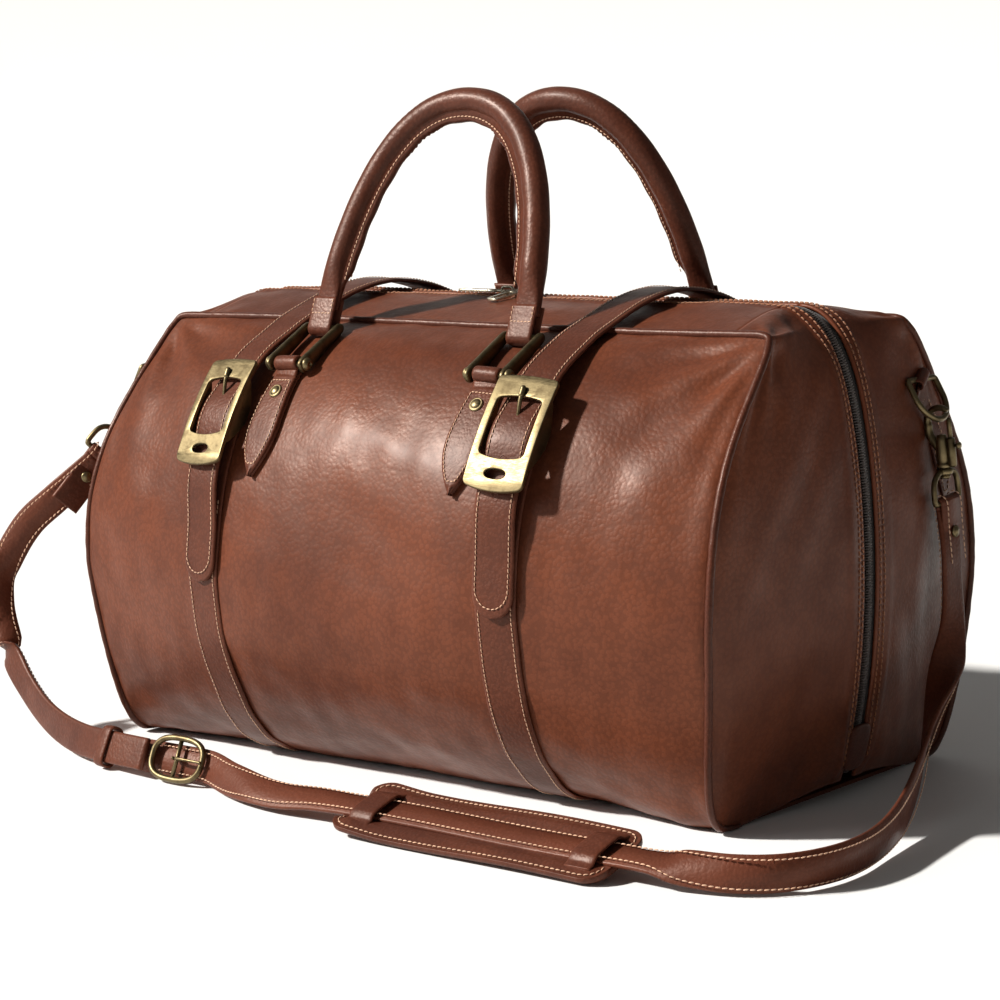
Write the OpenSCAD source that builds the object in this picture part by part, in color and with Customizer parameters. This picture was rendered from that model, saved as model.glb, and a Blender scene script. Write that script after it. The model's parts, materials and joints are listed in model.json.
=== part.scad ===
// Leather weekender bag: soft body with belted closure straps, two rolled handles on brass
// shackles, a zip over the top and ends, and a shoulder strap clipped to the ends.
// X runs along the bag, -Y is the front, +Z is up, and the bag stands on z = 0.

/* [Body] */
// Length between the two end seams
body_len = 500; // [420:5:620]
// Depth of each end panel at its widest
end_depth = 308; // [280:4:344]
// Depth of each end panel at its bottom corners
foot_depth = 280; // [250:5:300]
// Depth of the belly half way along
belly_depth = 380; // [320:5:440]
// Depth between the two top seams
top_depth = 154; // [130:2:190]
// Height of the top seams above the floor
seam_height = 298; // [250:2:370]
// Rise of the zip above the top seams
crown = 14; // [8:1:24]
// How far an end panel stands out beyond its seam
end_bulge = 30; // [16:1:44]
// Width of the flat base
base_width = 190; // [150:5:220]
// How far an end seam bows out half way up
seam_bow = 14; // [0:1:20]
// Thickness of the body leather
leather = 2.4; // [1.6:0.1:3.2]
// Diameter of the piping
piping_d = 5; // [4:0.5:7]

/* [Zip] */
// Width of the gap between the two leather edges of the zip
zip_gap = 16; // [13:1:20]
// Width of the closed coil
coil_w = 7; // [5:0.5:8]
// Height of the closed coil
coil_h = 2.4; // [1.8:0.1:3]

/* [Closure straps] */
// Distance of each closure strap from the middle
strap_x = 125; // [118:1:150]
// Width of a closure strap
strap_w = 30; // [24:1:34]
// Thickness of strap leather
strap_t = 2.4; // [1.8:0.1:3]
// Height of each closure buckle above the floor
buckle_z = 236; // [225:1:245]
// Length of a closure buckle
buckle_len = 76; // [68:1:84]
// Width of a closure buckle
buckle_w = 44; // [40:1:48]
// Diameter of the buckle's centre bar
bar_d = 3; // [2.4:0.2:3.6]

/* [Handles] */
// Distance of each handle leg from the middle
handle_x = 86; // [76:1:90]
// Height of the handle arch above its bars
handle_rise = 160; // [130:2:200]
// Diameter of the rolled handle
handle_d = 18; // [15:0.5:22]
// Lean of the handles towards each other
handle_lean = 20; // [10:1:24]
// Distance between a shackle's pin and its top bar
shackle_len = 40; // [34:1:46]
// Diameter of the shackle's pin and bar
pin_d = 5; // [4:0.5:6]
// Width between the side bars of a shackle
shackle_gap = 24; // [20:1:26]

/* [Shoulder strap] */
// Width of the shoulder strap
cord_w = 22; // [20:1:28]
// Thickness of the shoulder strap
cord_t = 3; // [2.4:0.2:4]
// Length of the shoulder pad
pad_len = 206; // [180:2:220]
// Width of the shoulder pad
pad_w = 58; // [50:1:62]
// Wire diameter of the D-rings
ring_wire = 4; // [3:0.5:5]
// Inner width of the D-rings
ring_w = 30; // [26:1:36]

/* [Hidden] */

half_len = body_len / 2;
zip_z = seam_height + crown;
corner_run = 28;             // length of top seam that belongs to each end panel
base_z = 0.6;                // lowest point of the wrap beside the base
fit = 0.3;                   // running clearance of hinges and slots
lining_t = 0.9;
board_t = 3;
pipe_r = piping_d / 2;
hide = "#6b3420";
hide_dark = "#4a2216";
brass = "#9a8450";
steel = "#b9b4a4";

// ---- small vector and curve functions
function mix(a, b, k) = a + (b - a) * k;
function unit(v) = v / max(norm(v), 1e-9);
function bez(a, b, c, d, k) =
    a * pow(1 - k, 3) + b * 3 * k * pow(1 - k, 2) + c * 3 * k * k * (1 - k) + d * pow(k, 3);
function steps(a, b, n) = [for (i = [0:n]) mix(a, b, i / n)];
function flip_y(p) = [p[0], -p[1], p[2]];
function flip_x(p) = [-p[0], p[1], p[2]];
function tangent(path, i) = unit(path[min(i + 1, len(path) - 1)] - path[max(i - 1, 0)]);

// ---- the wrap: half depth and height at share t of the way from base seam to top seam
function fullness(x) = pow(max(0, cos(90 * min(1, abs(x) / half_len))), 0.6);
function wrap(w, t) =
    let (half = mix(end_depth, belly_depth, w) / 2)
    let (wide = [half, mix(0.42, 0.45, w) * seam_height])
    t < 0.5
    ? bez([base_width / 2, base_z],
          [mix(foot_depth / 2 - 2, base_width / 2 + 45, w), base_z],
          [mix(foot_depth / 2 + 3, half, w), mix(2, 0.2 * seam_height, w)], wide, 2 * t)
    : bez(wide, [half, 0.69 * seam_height],
          [mix(0.82 * end_depth / 2, 0.79 * belly_depth / 2, w), mix(0.79, 0.955, w) * seam_height],
          [top_depth / 2, seam_height], 2 * t - 1);
function bow(z) = seam_bow * sin(180 * min(1, z / seam_height));
function face(x, t) =
    let (p = wrap(fullness(x), t))
    [x + sign(x) * pow(abs(x) / half_len, 6) * bow(p[1]), -p[0], p[1]];
function face_normal(x, t) =
    let (e = 0.01, d = 2)
    unit(cross(face(x + d, t) - face(x - d, t), face(x, min(1, t + e)) - face(x, max(0, t - e))));
function face_off(x, t, off) = face(x, t) + face_normal(x, t) * off;
// share t at which the wrap reaches height z, found by halving
function t_at(x, z, lo = 0.05, hi = 1, n = 16) =
    n == 0 ? (lo + hi) / 2
    : let (m = (lo + hi) / 2)
      face(x, m)[2] < z ? t_at(x, z, m, hi, n - 1) : t_at(x, z, lo, m, n - 1);
// share t that lies a length run further down the wrap than share t
function t_down(x, t, run, n = 40) =
    run <= 0 || t <= 0.02 ? t
    : let (u = t - 0.01)
      t_down(x, u, run - norm(face(x, t) - face(x, u)), n - 1);

// ---- the zip line and the end seams, at share s from the bottom to the short top seam
function zip_end(s) =
    let (p = bez([half_len + 0.4 * end_bulge, 12],
                 [half_len + 1.4 * end_bulge, 0.3 * seam_height],
                 [half_len + 1.3 * end_bulge, zip_z],
                 [half_len - corner_run, zip_z], s))
    [p[0], -zip_gap / 2, p[1]];
seam_share = 0.86;
function seam_end(s) =
    s < seam_share ? let (p = wrap(0, s / seam_share)) [half_len + bow(p[1]), -p[0], p[1]]
    : [half_len - corner_run * (s - seam_share) / (1 - seam_share), -top_depth / 2, seam_height];
function gusset(p, z, v) =
    [mix(p[0], z[0], sin(90 * v)), mix(p[1], z[1], v), mix(p[2], z[2], sin(90 * v))];
function end_point(s, v) = gusset(seam_end(s), zip_end(s), v);
function end_normal(s, v) =
    let (e = 0.02)
    unit(cross(end_point(min(1, s + e), v) - end_point(max(0, s - e), v),
               end_point(s, max(0, v - e)) - end_point(s, min(1, v + e))));

// ---- closed solids from grids and rings of points
module skin(g, thick, lift = 0) {
    ni = len(g);
    nj = len(g[0]);
    normals = [for (i = [0:ni - 1]) [for (j = [0:nj - 1])
        unit(cross(g[min(i + 1, ni - 1)][j] - g[max(i - 1, 0)][j],
                   g[i][min(j + 1, nj - 1)] - g[i][max(j - 1, 0)]))]];
    outer = [for (i = [0:ni - 1]) for (j = [0:nj - 1]) g[i][j] + normals[i][j] * lift];
    inner = [for (i = [0:ni - 1]) for (j = [0:nj - 1]) g[i][j] + normals[i][j] * (lift - thick)];
    m = ni * nj;
    cells = [for (i = [0:ni - 2]) for (j = [0:nj - 2]) i * nj + j];
    top = [for (a = cells) each [[a, a + nj + 1, a + nj], [a, a + 1, a + nj + 1]]];
    under = [for (a = cells) each [[m + a, m + a + nj, m + a + nj + 1], [m + a, m + a + nj + 1, m + a + 1]]];
    low = [for (i = [0:ni - 2]) let (a = i * nj, d = a + nj) each [[a, d, m + d], [a, m + d, m + a]]];
    high = [for (i = [0:ni - 2]) let (a = i * nj + nj - 1, d = a + nj)
        each [[a, m + d, d], [a, m + a, m + d]]];
    first = [for (j = [0:nj - 2]) let (a = j, b = j + 1) each [[a, m + a, m + b], [a, m + b, b]]];
    last = [for (j = [0:nj - 2]) let (a = (ni - 1) * nj + j, b = a + 1)
        each [[a, b, m + b], [a, m + b, m + a]]];
    polyhedron(concat(outer, inner), concat(top, under, low, high, first, last));
}

module sweep(rings) {
    n = len(rings);
    m = len(rings[0]);
    sides = [for (k = [0:n - 2]) for (j = [0:m - 1])
        let (a = k * m + j, b = k * m + (j + 1) % m)
        each [[a, b + m, b], [a, a + m, b + m]]];
    polyhedron([for (r = rings) each r],
        concat(sides, [[for (j = [0:m - 1]) j]], [[for (j = [m - 1:-1:0]) (n - 1) * m + j]]));
}

// flat band: centre line c, outward normals nrm, half widths hw, thickness from lift upwards
module band(c, nrm, hw, thick, lift = 0) {
    sweep([for (i = [0:len(c) - 1])
        let (t = tangent(c, i))
        let (w = unit(cross(nrm[i], t)) * hw[i])
        let (v = unit(cross(t, w)))
        let (low = v * lift, high = v * (lift + thick))
        [c[i] - w + low, c[i] + w + low, c[i] + w + high, c[i] - w + high]]);
}

module tube(path, r, sides, ref = [0.3, 0.9, 0.3]) {
    sweep([for (i = [0:len(path) - 1])
        let (t = tangent(path, i))
        let (v = unit(ref - t * (ref * t)))
        let (u = cross(v, t))
        [for (k = [0:sides - 1]) path[i] + (u * cos(360 * k / sides) + v * sin(360 * k / sides)) * r]]);
}

module both_x() {
    children();
    mirror([1, 0, 0]) children();
}

// ---- body leather
module front_panel() {
    color(hide)
    skin([for (x = steps(-half_len, half_len, 26)) [for (t = steps(0, 1, 15)) face(x, t)]], leather);
}

module base_panel() {
    color(hide_dark)
    linear_extrude(leather)
    square([body_len - 6, base_width - 1], center = true);
}

module top_strip_front() {
    run = half_len - corner_run;
    color(hide)
    skin([for (x = steps(-run, run, 12)) [for (v = steps(0, 1, 6))
        gusset([x, -top_depth / 2, seam_height], [x, -zip_gap / 2, zip_z], v)]], leather);
}

module right_end_front() {
    color(hide)
    skin([for (s = steps(0, 1, 16)) [for (v = steps(1, 0, 7)) end_point(s, v)]], leather);
}

module piping_front() {
    climb = [for (s = steps(0.16, 0.84, 12)) let (p = seam_end(s)) p + [0, -0.3, 0]];
    turn = [[half_len - 3, -top_depth / 2 - 0.6, seam_height + 0.6],
            [half_len - 12, -top_depth / 2, seam_height + 1]];
    run = [for (x = steps(half_len - corner_run, 0, 5)) [x, -top_depth / 2, seam_height + 1]];
    side = concat(climb, turn, run);
    path = concat(side, [for (i = [len(side) - 2:-1:0]) flip_x(side[i])]);
    color(hide_dark)
    tube(path, pipe_r, 6);
}

// ---- zip
zip_side = [for (s = steps(0.02, 1, 12)) let (p = zip_end(s)) [p[0], 0, p[2]]];
zip_top = [for (x = steps(half_len - corner_run - 30, 0, 4)) [x, 0, zip_z]];
zip_half = concat(zip_side, zip_top);
zip_path = concat(zip_half, [for (i = [len(zip_half) - 2:-1:0]) flip_x(zip_half[i])]);
zip_normals = [for (i = [0:len(zip_path) - 1]) cross([0, 1, 0], tangent(zip_path, i))];
tape_drop = leather + 1.2;
coil_top = zip_z - tape_drop + 1 + coil_h;

module zip_tape() {
    color(hide_dark)
    band(zip_path, zip_normals, [for (p = zip_path) zip_gap / 2 + 5], 1, -tape_drop);
}

module zip_coil() {
    color("#2b1d18")
    band(zip_path, zip_normals, [for (p = zip_path) coil_w / 2], coil_h, 1 - tape_drop);
}

module zip_end_tabs() {
    path = [for (s = steps(0.03, 0.13, 4)) let (p = zip_end(s)) [p[0], 0, p[2]]];
    normals = [for (i = [0:len(path) - 1]) cross([0, 1, 0], tangent(path, i))];
    color(hide)
    both_x()
    band(path, normals, [for (p = path) zip_gap / 2 + 4], 1.6, 0.3);
}

module slider(side) {
    plate_z = coil_top + 0.5;
    color(steel)
    translate([side * 9, 0, 0]) {
        translate([-6, -coil_w / 2 - 1.6, plate_z]) cube([12, coil_w + 3.2, 1.6]);
        for (edge = [-1, 1])
            translate([-5, edge * (coil_w / 2 + 1) - 0.6, plate_z - coil_h + 0.6]) cube([10, 1.2, coil_h]);
        // bridge that holds the puller
        for (end = [-4.6, 4.6])
            translate([end, 0, plate_z + 1.4]) cylinder(d = 1.6, h = bridge_h, $fn = 24);
        translate([-5.4, 0, bridge_z]) rotate([0, 90, 0]) cylinder(d = 2.2, h = 10.8, $fn = 24);
    }
}
bridge_h = 4.4;
bridge_z = coil_top + 1.9 + bridge_h;
pull_axis_z = coil_top + 3.7;                // height of the left puller's pin under the bridge

// tag with a slot, lying along local X from the given start
module tag(from, tag_len) {
    difference() {
        translate([from, -5, -0.9]) cube([tag_len, 10, 1.8]);
        translate([from + tag_len - 12, -2.6, -2]) cube([8, 5.2, 4]);
    }
}
module puller_left() {
    arm_y = 2.2;
    color(steel)
    translate([-9, 0, pull_axis_z]) rotate([0, 0, 180]) {
        rotate([90, 0, 0]) cylinder(d = 1.6, h = 2 * arm_y + 1.6, center = true, $fn = 24);
        for (e = [-1, 1])
            translate([0, e * arm_y, 0]) rotate([0, 90, 0]) cylinder(d = 1.6, h = 8, $fn = 24);
        tag(7, 34);
    }
}
puller_turn = 262;                           // compass direction of the right puller
module puller_right() {
    loop = 3;
    color(steel)
    translate([9, 0, bridge_z]) rotate([0, 0, puller_turn]) rotate([0, 10, 0]) {
        rotate([90, 0, 0]) difference() {
            cylinder(r = loop + 0.8, h = 1.6, center = true, $fn = 40);
            cylinder(r = loop - 0.8, h = 3, center = true, $fn = 40);
        }
        translate([loop, 0, 0]) rotate([0, 90, 0]) cylinder(d = 1.4, h = 5, $fn = 24);
        tag(7, 28);
    }
}
module slider_left() slider(-1);
module slider_right() slider(1);

// ---- inside
module lining_half() {
    drop = leather + 0.5;
    skin([for (x = steps(-half_len + 5, half_len - 5, 10)) [for (t = steps(0.08, 0.98, 8)) face(x, t)]],
        lining_t, -drop);
    both_x()
    skin([for (s = steps(0.06, 0.97, 7)) [for (v = steps(0.97, 0.1, 4)) end_point(s, v)]], lining_t, -drop);
}
module lining() {
    color("#8a7a5a") {
        lining_half();
        mirror([0, 1, 0]) lining_half();
    }
}
module base_board() {
    color("#7d6a4c")
    translate([0, 0, leather + 0.4])
    linear_extrude(board_t) square([body_len - 60, base_width - 30], center = true);
}

// ---- closure straps
buckle_t = t_at(strap_x, buckle_z);
bar_off = 4.2;                 // centre of the buckle bar above the wrap
over_loop = bar_off + bar_d / 2 + fit + strap_t + 0.3;
plate_off = over_loop + strap_t + 0.5;
plate_t = 3;
tip_len = 70;                  // strap tail below the buckle
strap_lift = 4.2;              // clears the piping where the strap crosses the top seams
function lift_at(run) = mix(over_loop, strap_lift, min(1, max(0, (abs(run) - 0.5 * buckle_len) / 40)));

module upper_strap(side) {
    x = side * strap_x;
    tip_t = t_down(strap_x, buckle_t, buckle_len / 2 + tip_len);
    ts = steps(tip_t, 0.985, 22);
    front = [for (t = ts)
        let (run = norm(face(x, t) - face(x, buckle_t)))
        face_off(x, t, lift_at(run))];
    over = [[x, -52, zip_z - 1.5], [x, -28, zip_z + 5], [x, 0, zip_z + 7.5], [x, 28, zip_z + 5],
            [x, 52, zip_z - 1.5]];
    back = [for (t = steps(0.985, 0.06, 20)) flip_y(face_off(x, t, mix(0.4, strap_lift, max(0, (t - 0.6) / 0.4))))];
    path = concat(front, over, back);
    normals = concat([for (t = ts) face_normal(x, t)],
        [for (p = over) unit([0, p[1] * 0.006, 1])],
        [for (t = steps(0.985, 0.06, 20)) flip_y(face_normal(x, t))]);
    widths = [for (i = [0:len(path) - 1])
        let (d = norm(path[i] - path[0]))
        d < strap_w / 2 ? max(4, sqrt(max(0, pow(strap_w / 2, 2) - pow(strap_w / 2 - d, 2)))) : strap_w / 2];
    color(hide)
    difference() {
        band(path, normals, widths, strap_t);
        on_face(x, buckle_t) translate([-3, -1, 0]) cube([6, 22, 30]);
    }
}
module upper_strap_left() upper_strap(-1);
module upper_strap_right() upper_strap(1);

// carries its children to the wrap at x and share t: local Z outwards, local Y up the wrap
module on_face(x, t, yaw = true) {
    p = face(x, t);
    n = face_normal(x, t);
    turn = yaw ? atan2(n[0], norm([n[1], n[2]])) : 0;
    tip = atan2(-n[1], n[2]);
    translate(p) rotate([tip, 0, 0]) rotate([0, turn, 0]) children();
}

module lower_strap(side) {
    x = side * strap_x;
    ts = steps(0.06, buckle_t, 18);
    path = [for (t = ts) face(x, t)];
    normals = [for (t = ts) face_normal(x, t)];
    color(hide)
    difference() {
        union() {
            band(path, normals, [for (t = ts) strap_w / 2], 1.9, 0.3);
            on_face(x, buckle_t) translate([0, 0, bar_off]) rotate([0, 90, 0])
                cylinder(r = bar_d / 2 + fit + strap_t - 0.4, h = strap_w, center = true, $fn = 40);
        }
        on_face(x, buckle_t) translate([0, 0, bar_off]) {
            rotate([0, 90, 0]) cylinder(r = bar_d / 2 + fit, h = strap_w + 2, center = true, $fn = 40);
            translate([-3.6, -8, -3.4]) cube([7.2, 20, 20]);
        }
    }
}
module lower_strap_left() lower_strap(-1);
module lower_strap_right() lower_strap(1);

module rounded(w, h, r) {
    for (sx = [-1, 1]) for (sy = [-1, 1])
        translate([sx * (w / 2 - r), sy * (h / 2 - r)]) circle(r = r, $fn = 32);
    square([w - 2 * r, h], center = true);
    square([w, h - 2 * r], center = true);
}

module buckle(side) {
    window_h = 0.52 * buckle_len;
    color(brass)
    on_face(side * strap_x, buckle_t) {
        difference() {
            translate([0, 0, plate_off]) linear_extrude(plate_t)
            difference() {
                rounded(buckle_w, buckle_len, 4);
                translate([0, 2]) rounded(strap_w + 3, window_h, 2);
                translate([0, -buckle_len / 2 + 8.5]) slot_shape(12, 6);
            }
            // notch for the tongue's tip
            translate([0, 2 + window_h / 2 - 1, plate_off + plate_t]) rotate([-90, 0, 0])
                cylinder(d = 3.8, h = 9, $fn = 32);
        }
        for (edge = [-1, 1])
            translate([edge * (buckle_w / 2 - 2.2), 0, bar_off - 2.4])
                linear_extrude(plate_off - bar_off + 2.8)
                square([3.4, 7], center = true);
        translate([0, 0, bar_off]) rotate([0, 90, 0])
            cylinder(d = bar_d, h = buckle_w - 3, center = true, $fn = 40);
    }
}
module slot_shape(w, h) {
    square([w - h, h], center = true);
    for (e = [-1, 1]) translate([e * (w - h) / 2, 0]) circle(d = h, $fn = 32);
}
module buckle_left() buckle(-1);
module buckle_right() buckle(1);

tongue_reach = 26;
module buckle_tongue(side) {
    rise = atan2(plate_off + plate_t + 0.6 - bar_off, tongue_reach - 3);
    color(brass)
    on_face(side * strap_x, buckle_t) translate([0, 0, bar_off])
    difference() {
        union() {
            rotate([0, 90, 0]) cylinder(r = bar_d / 2 + fit + 1.4, h = 5, center = true, $fn = 40);
            rotate([rise, 0, 0]) rotate([-90, 0, 0]) cylinder(d = 2.6, h = tongue_reach + 2, $fn = 32);
        }
        rotate([0, 90, 0]) cylinder(r = bar_d / 2 + fit, h = 8, center = true, $fn = 40);
    }
}
module buckle_tongue_left() buckle_tongue(-1);
module buckle_tongue_right() buckle_tongue(1);

// ---- handles, with the shackle's pin and bar as their two hinges
pin_t = t_at(handle_x, 0.9 * seam_height);
pin_off = pin_d / 2 + fit + leather + 2.6;
pin_base = face(handle_x, pin_t);
pin_up = let (n = face_normal(handle_x, pin_t)) unit([0, n[1], n[2]]);
pin_at = [0, pin_base[1] + pin_up[1] * pin_off, pin_base[2] + pin_up[2] * pin_off];
shackle_angle = 31;            // slope of the shackle up the shoulder
bar_at = pin_at + shackle_len * [0, cos(shackle_angle), sin(shackle_angle)];
loop_r = pin_d / 2 + fit;
tab_t = 2.4;
flat_run = 14;                 // flattened length above the bar
foot_w = 19;                   // width and thickness of the handle's flattened foot
foot_t = 5.4;

function half_arch(k) =
    bez([handle_x, flat_run], [handle_x - 1, 0.5 * handle_rise], [0.74 * handle_x, handle_rise],
        [0, handle_rise], k);
function arch(k) =
    let (q = half_arch(k < 0.5 ? 2 * k : 2 - 2 * k))
    let (p = [k < 0.5 ? q[0] : -q[0], q[1]])
    bar_at + [p[0], p[1] * sin(handle_lean), p[1] * cos(handle_lean)];
lean_normal = [0, -cos(handle_lean), sin(handle_lean)];

// oval rings: depth half a across the handle's plane, width half b in the plane
module rolled(grow, count, from = 0, to = 1) {
    ks = steps(from, to, count);
    path = [for (k = ks) arch(k)];
    sweep([for (i = [0:count])
        let (t = tangent(path, i))
        let (v = lean_normal)
        let (u = cross(v, t))
        let (edge = min(1, min(ks[i], 1 - ks[i]) / 0.1))
        let (a = mix(foot_t / 2 - 0.7, handle_d / 2, edge) + grow)
        let (b = mix(foot_w / 2 - 1, handle_d / 2, edge) + grow)
        [for (j = [0:9]) path[i] + u * b * cos(36 * j) + v * a * sin(36 * j)]]);
}
core_wall = -3;

module handle_front() {
    color(hide)
    difference() {
        union() {
            rolled(0, 26);
            for (side = [-1, 1])
                translate(bar_at + [side * handle_x, 0, 0]) {
                    rotate([0, 90, 0])
                        cylinder(r = loop_r + tab_t, h = shackle_gap - 3, center = true, $fn = 40);
                    rotate([-handle_lean, 0, 0]) translate([-foot_w / 2, -foot_t / 2, 0])
                        cube([foot_w, foot_t, flat_run + 6]);
                }
        }
        for (side = [-1, 1])
            translate(bar_at + [side * handle_x, 0, 0])
            rotate([0, 90, 0]) cylinder(r = loop_r, h = shackle_gap, center = true, $fn = 40);
        rolled(core_wall, 22, 0.09, 0.91);
    }
}
module handle_core_front() {
    color("#c9b78e")
    rolled(core_wall - 0.25, 22, 0.095, 0.905);
}

module shackle_front(side) {
    bar_w = 4.4;
    color(brass)
    translate(pin_at + [side * handle_x, 0, 0]) rotate([shackle_angle, 0, 0]) {
        for (edge = [-1, 1])
            translate([edge * (shackle_gap / 2 + bar_w / 2) - bar_w / 2, 0, 0])
            rotate([90, 0, 90]) linear_extrude(bar_w)
            difference() {
                union() {
                    circle(d = pin_d + 5, $fn = 40);
                    translate([shackle_len, 0]) circle(d = pin_d + 2.4, $fn = 40);
                    polygon([[0, pin_d / 2 + 2.5], [0, -pin_d / 2 - 2.5], [shackle_len, -pin_d / 2 - 1.2],
                        [shackle_len, pin_d / 2 + 1.2]]);
                }
                circle(d = pin_d + 0.04, $fn = 40);
            }
        translate([0, shackle_len, 0]) rotate([0, 90, 0])
            cylinder(d = pin_d, h = shackle_gap + 2, center = true, $fn = 40);
    }
}
module shackle_pins_front() {
    reach = shackle_gap / 2 + 4.4;
    color(brass)
    for (side = [-1, 1]) translate(pin_at + [side * handle_x, 0, 0]) {
        rotate([0, 90, 0]) cylinder(d = pin_d, h = 2 * reach + 1, center = true, $fn = 40);
        // screw heads
        for (edge = [-1, 1]) translate([edge * (reach + 0.1), 0, 0]) rotate([0, edge * 90, 0])
            rotate_extrude($fn = 40)
            polygon([[0, 0], [pin_d / 2 + 1.4, 0], [pin_d / 2 + 1.4, 1.4], [pin_d / 2, 3], [0, 3.4]]);
    }
}

leaf_len = 78;
leaf_w = 27;
module anchor_tab_front(side) {
    x = side * handle_x;
    low_t = t_down(handle_x, pin_t, leaf_len);
    ts = steps(low_t, pin_t, 14);
    // leaf outline: a point at the bottom, widest a third up, loop width at the top
    function leaf(k) = k < 0.35 ? max(1, leaf_w / 2 * sin(90 * k / 0.35))
        : mix(leaf_w / 2, (shackle_gap - 4) / 2, (k - 0.35) / 0.65);
    color(hide)
    difference() {
        union() {
            band([for (t = ts) face(x, t)], [for (t = ts) face_normal(x, t)],
                [for (i = [0:14]) leaf(i / 14)], 2 * tab_t, 0.3);
            translate(pin_at + [x, 0, 0]) rotate([0, 90, 0])
                cylinder(r = loop_r + tab_t, h = shackle_gap - 4, center = true, $fn = 40);
        }
        translate(pin_at + [x, 0, 0]) rotate([0, 90, 0])
            cylinder(r = loop_r, h = 40, center = true, $fn = 40);
    }
}

rivet_t = t_down(handle_x, pin_t, 19);
module rivet(d) {
    rotate_extrude($fn = 40)
    polygon([[0, -2], [1.5, -2], [1.5, 0], [d / 2, 0], [d / 2, 0.8], [d / 3, 1.8], [0, 2.1]]);
}
module tab_rivets() {
    color(brass)
    for (face_side = [0, 1]) mirror([0, face_side, 0])
    for (side = [-1, 1]) on_face(side * handle_x, rivet_t) translate([0, 0, 2 * tab_t + 0.4]) rivet(9);
}

module at_back() mirror([0, 1, 0]) children();
module back_panel() at_back() front_panel();
module top_strip_back() at_back() top_strip_front();
module piping_back() at_back() piping_front();
module right_end_back() at_back() right_end_front();
module left_end_front() mirror([1, 0, 0]) right_end_front();
module left_end_back() mirror([1, 0, 0]) at_back() right_end_front();
module handle_back() at_back() handle_front();
module handle_core_back() at_back() handle_core_front();
module shackle_front_left() shackle_front(-1);
module shackle_front_right() shackle_front(1);
module shackle_back_left() at_back() shackle_front(-1);
module shackle_back_right() at_back() shackle_front(1);
module shackle_pins_back() at_back() shackle_pins_front();
module anchor_tab_front_left() anchor_tab_front(-1);
module anchor_tab_front_right() anchor_tab_front(1);
module anchor_tab_back_left() at_back() anchor_tab_front(-1);
module anchor_tab_back_right() at_back() anchor_tab_front(1);

// ---- rings and hooks on the ends
function end_s_at(z, v, lo = 0.05, hi = 0.95, n = 16) =
    n == 0 ? (lo + hi) / 2
    : let (m = (lo + hi) / 2)
      end_point(m, v)[2] < z ? end_s_at(z, v, m, hi, n - 1) : end_s_at(z, v, lo, m, n - 1);
ring_v = 0.32;                 // share of the way from the end seam to the zip
ring_z = 0.865 * seam_height;
ring_s = end_s_at(ring_z, ring_v);
ring_foot = end_point(ring_s, ring_v);
ring_r = ring_wire / 2;
ring_off = ring_r + fit + 2.4 + 1;
// the ring's straight bar, on the front half of the right end; the other ends mirror it
ring_at = [ring_foot[0] + ring_off + 2, ring_foot[1], ring_z + 3];
ring_tilt = 30;                // the ring hangs this far out from vertical
ring_leg = 12;                 // straight legs between the bar and the bow
ring_drop = ring_leg + ring_w / 2 + ring_r;

module ring_tab(side_x, side_y) {
    ss = steps(end_s_at(ring_z - 82, ring_v), end_s_at(ring_z + 5, ring_v), 12);
    path = [for (s = ss) end_point(s, ring_v)];
    normals = [for (s = ss) end_normal(s, ring_v)];
    function leaf(k) = k < 0.35 ? max(1, 12 * sin(90 * k / 0.35)) : mix(12, 9, (k - 0.35) / 0.65);
    mirror([side_x < 0 ? 1 : 0, 0, 0]) mirror([0, side_y > 0 ? 1 : 0, 0])
    color(hide)
    difference() {
        union() {
            band(path, normals, [for (i = [0:12]) leaf(i / 12)], 3.6, 0.3);
            translate(ring_at) rotate([90, 0, 0])
                cylinder(r = ring_r + fit + 2, h = 18, center = true, $fn = 40);
        }
        translate(ring_at) rotate([90, 0, 0]) cylinder(r = ring_r + fit, h = 40, center = true, $fn = 40);
    }
}
module ring_tab_left() ring_tab(-1, -1);
module ring_tab_right() ring_tab(1, 1);

module d_ring(side_x, side_y) {
    half = ring_w / 2 + ring_r;
    mirror([side_x < 0 ? 1 : 0, 0, 0]) mirror([0, side_y > 0 ? 1 : 0, 0])
    color(brass)
    translate(ring_at) rotate([0, -ring_tilt, 0]) {
        rotate([90, 0, 0]) cylinder(r = ring_r, h = 2 * half, center = true, $fn = 32);
        for (e = [-1, 1]) {
            translate([0, e * half, 0]) sphere(r = ring_r, $fn = 32);
            translate([0, e * half, -ring_leg]) cylinder(r = ring_r, h = ring_leg, $fn = 32);
        }
        translate([0, 0, -ring_leg]) rotate([0, -90, 0]) rotate([0, 0, 90])
            rotate_extrude(angle = 180, $fn = 48) translate([half, 0]) circle(r = ring_r, $fn = 32);
    }
}
module d_ring_left() d_ring(-1, -1);
module d_ring_right() d_ring(1, 1);

// ---- snap hooks: each hangs from its ring, with the body below the bow along local -Z
bow_r = 9;
bow_wire = 2;
bolt_x = 6.4;
thumb_z = -15.2;               // height of the thumb knob below the ring
hub_z = -34;
body_z = -30;                  // bottom of the hook's body
eye_bar_z = -52;
function ring_low(side_x, side_y) =
    let (p = ring_at + ring_drop * [sin(ring_tilt), 0, -cos(ring_tilt)])
    [side_x * p[0], side_y * abs(p[1]), p[2]];
hook_right_at = ring_low(1, 1) + [0, 0, -2];
hook_left_at = ring_low(-1, -1);
// tilt from vertical, compass direction of the tilt, roll of the hook and roll of the eye
hook_right_pose = [6, -117, 117, 117];
hook_left_pose = [40, 57, -48, 90];

module hook_frame(at, pose, roll) {
    translate(at) rotate([0, pose[0], pose[1]]) rotate([0, 0, roll]) children();
}

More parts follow.
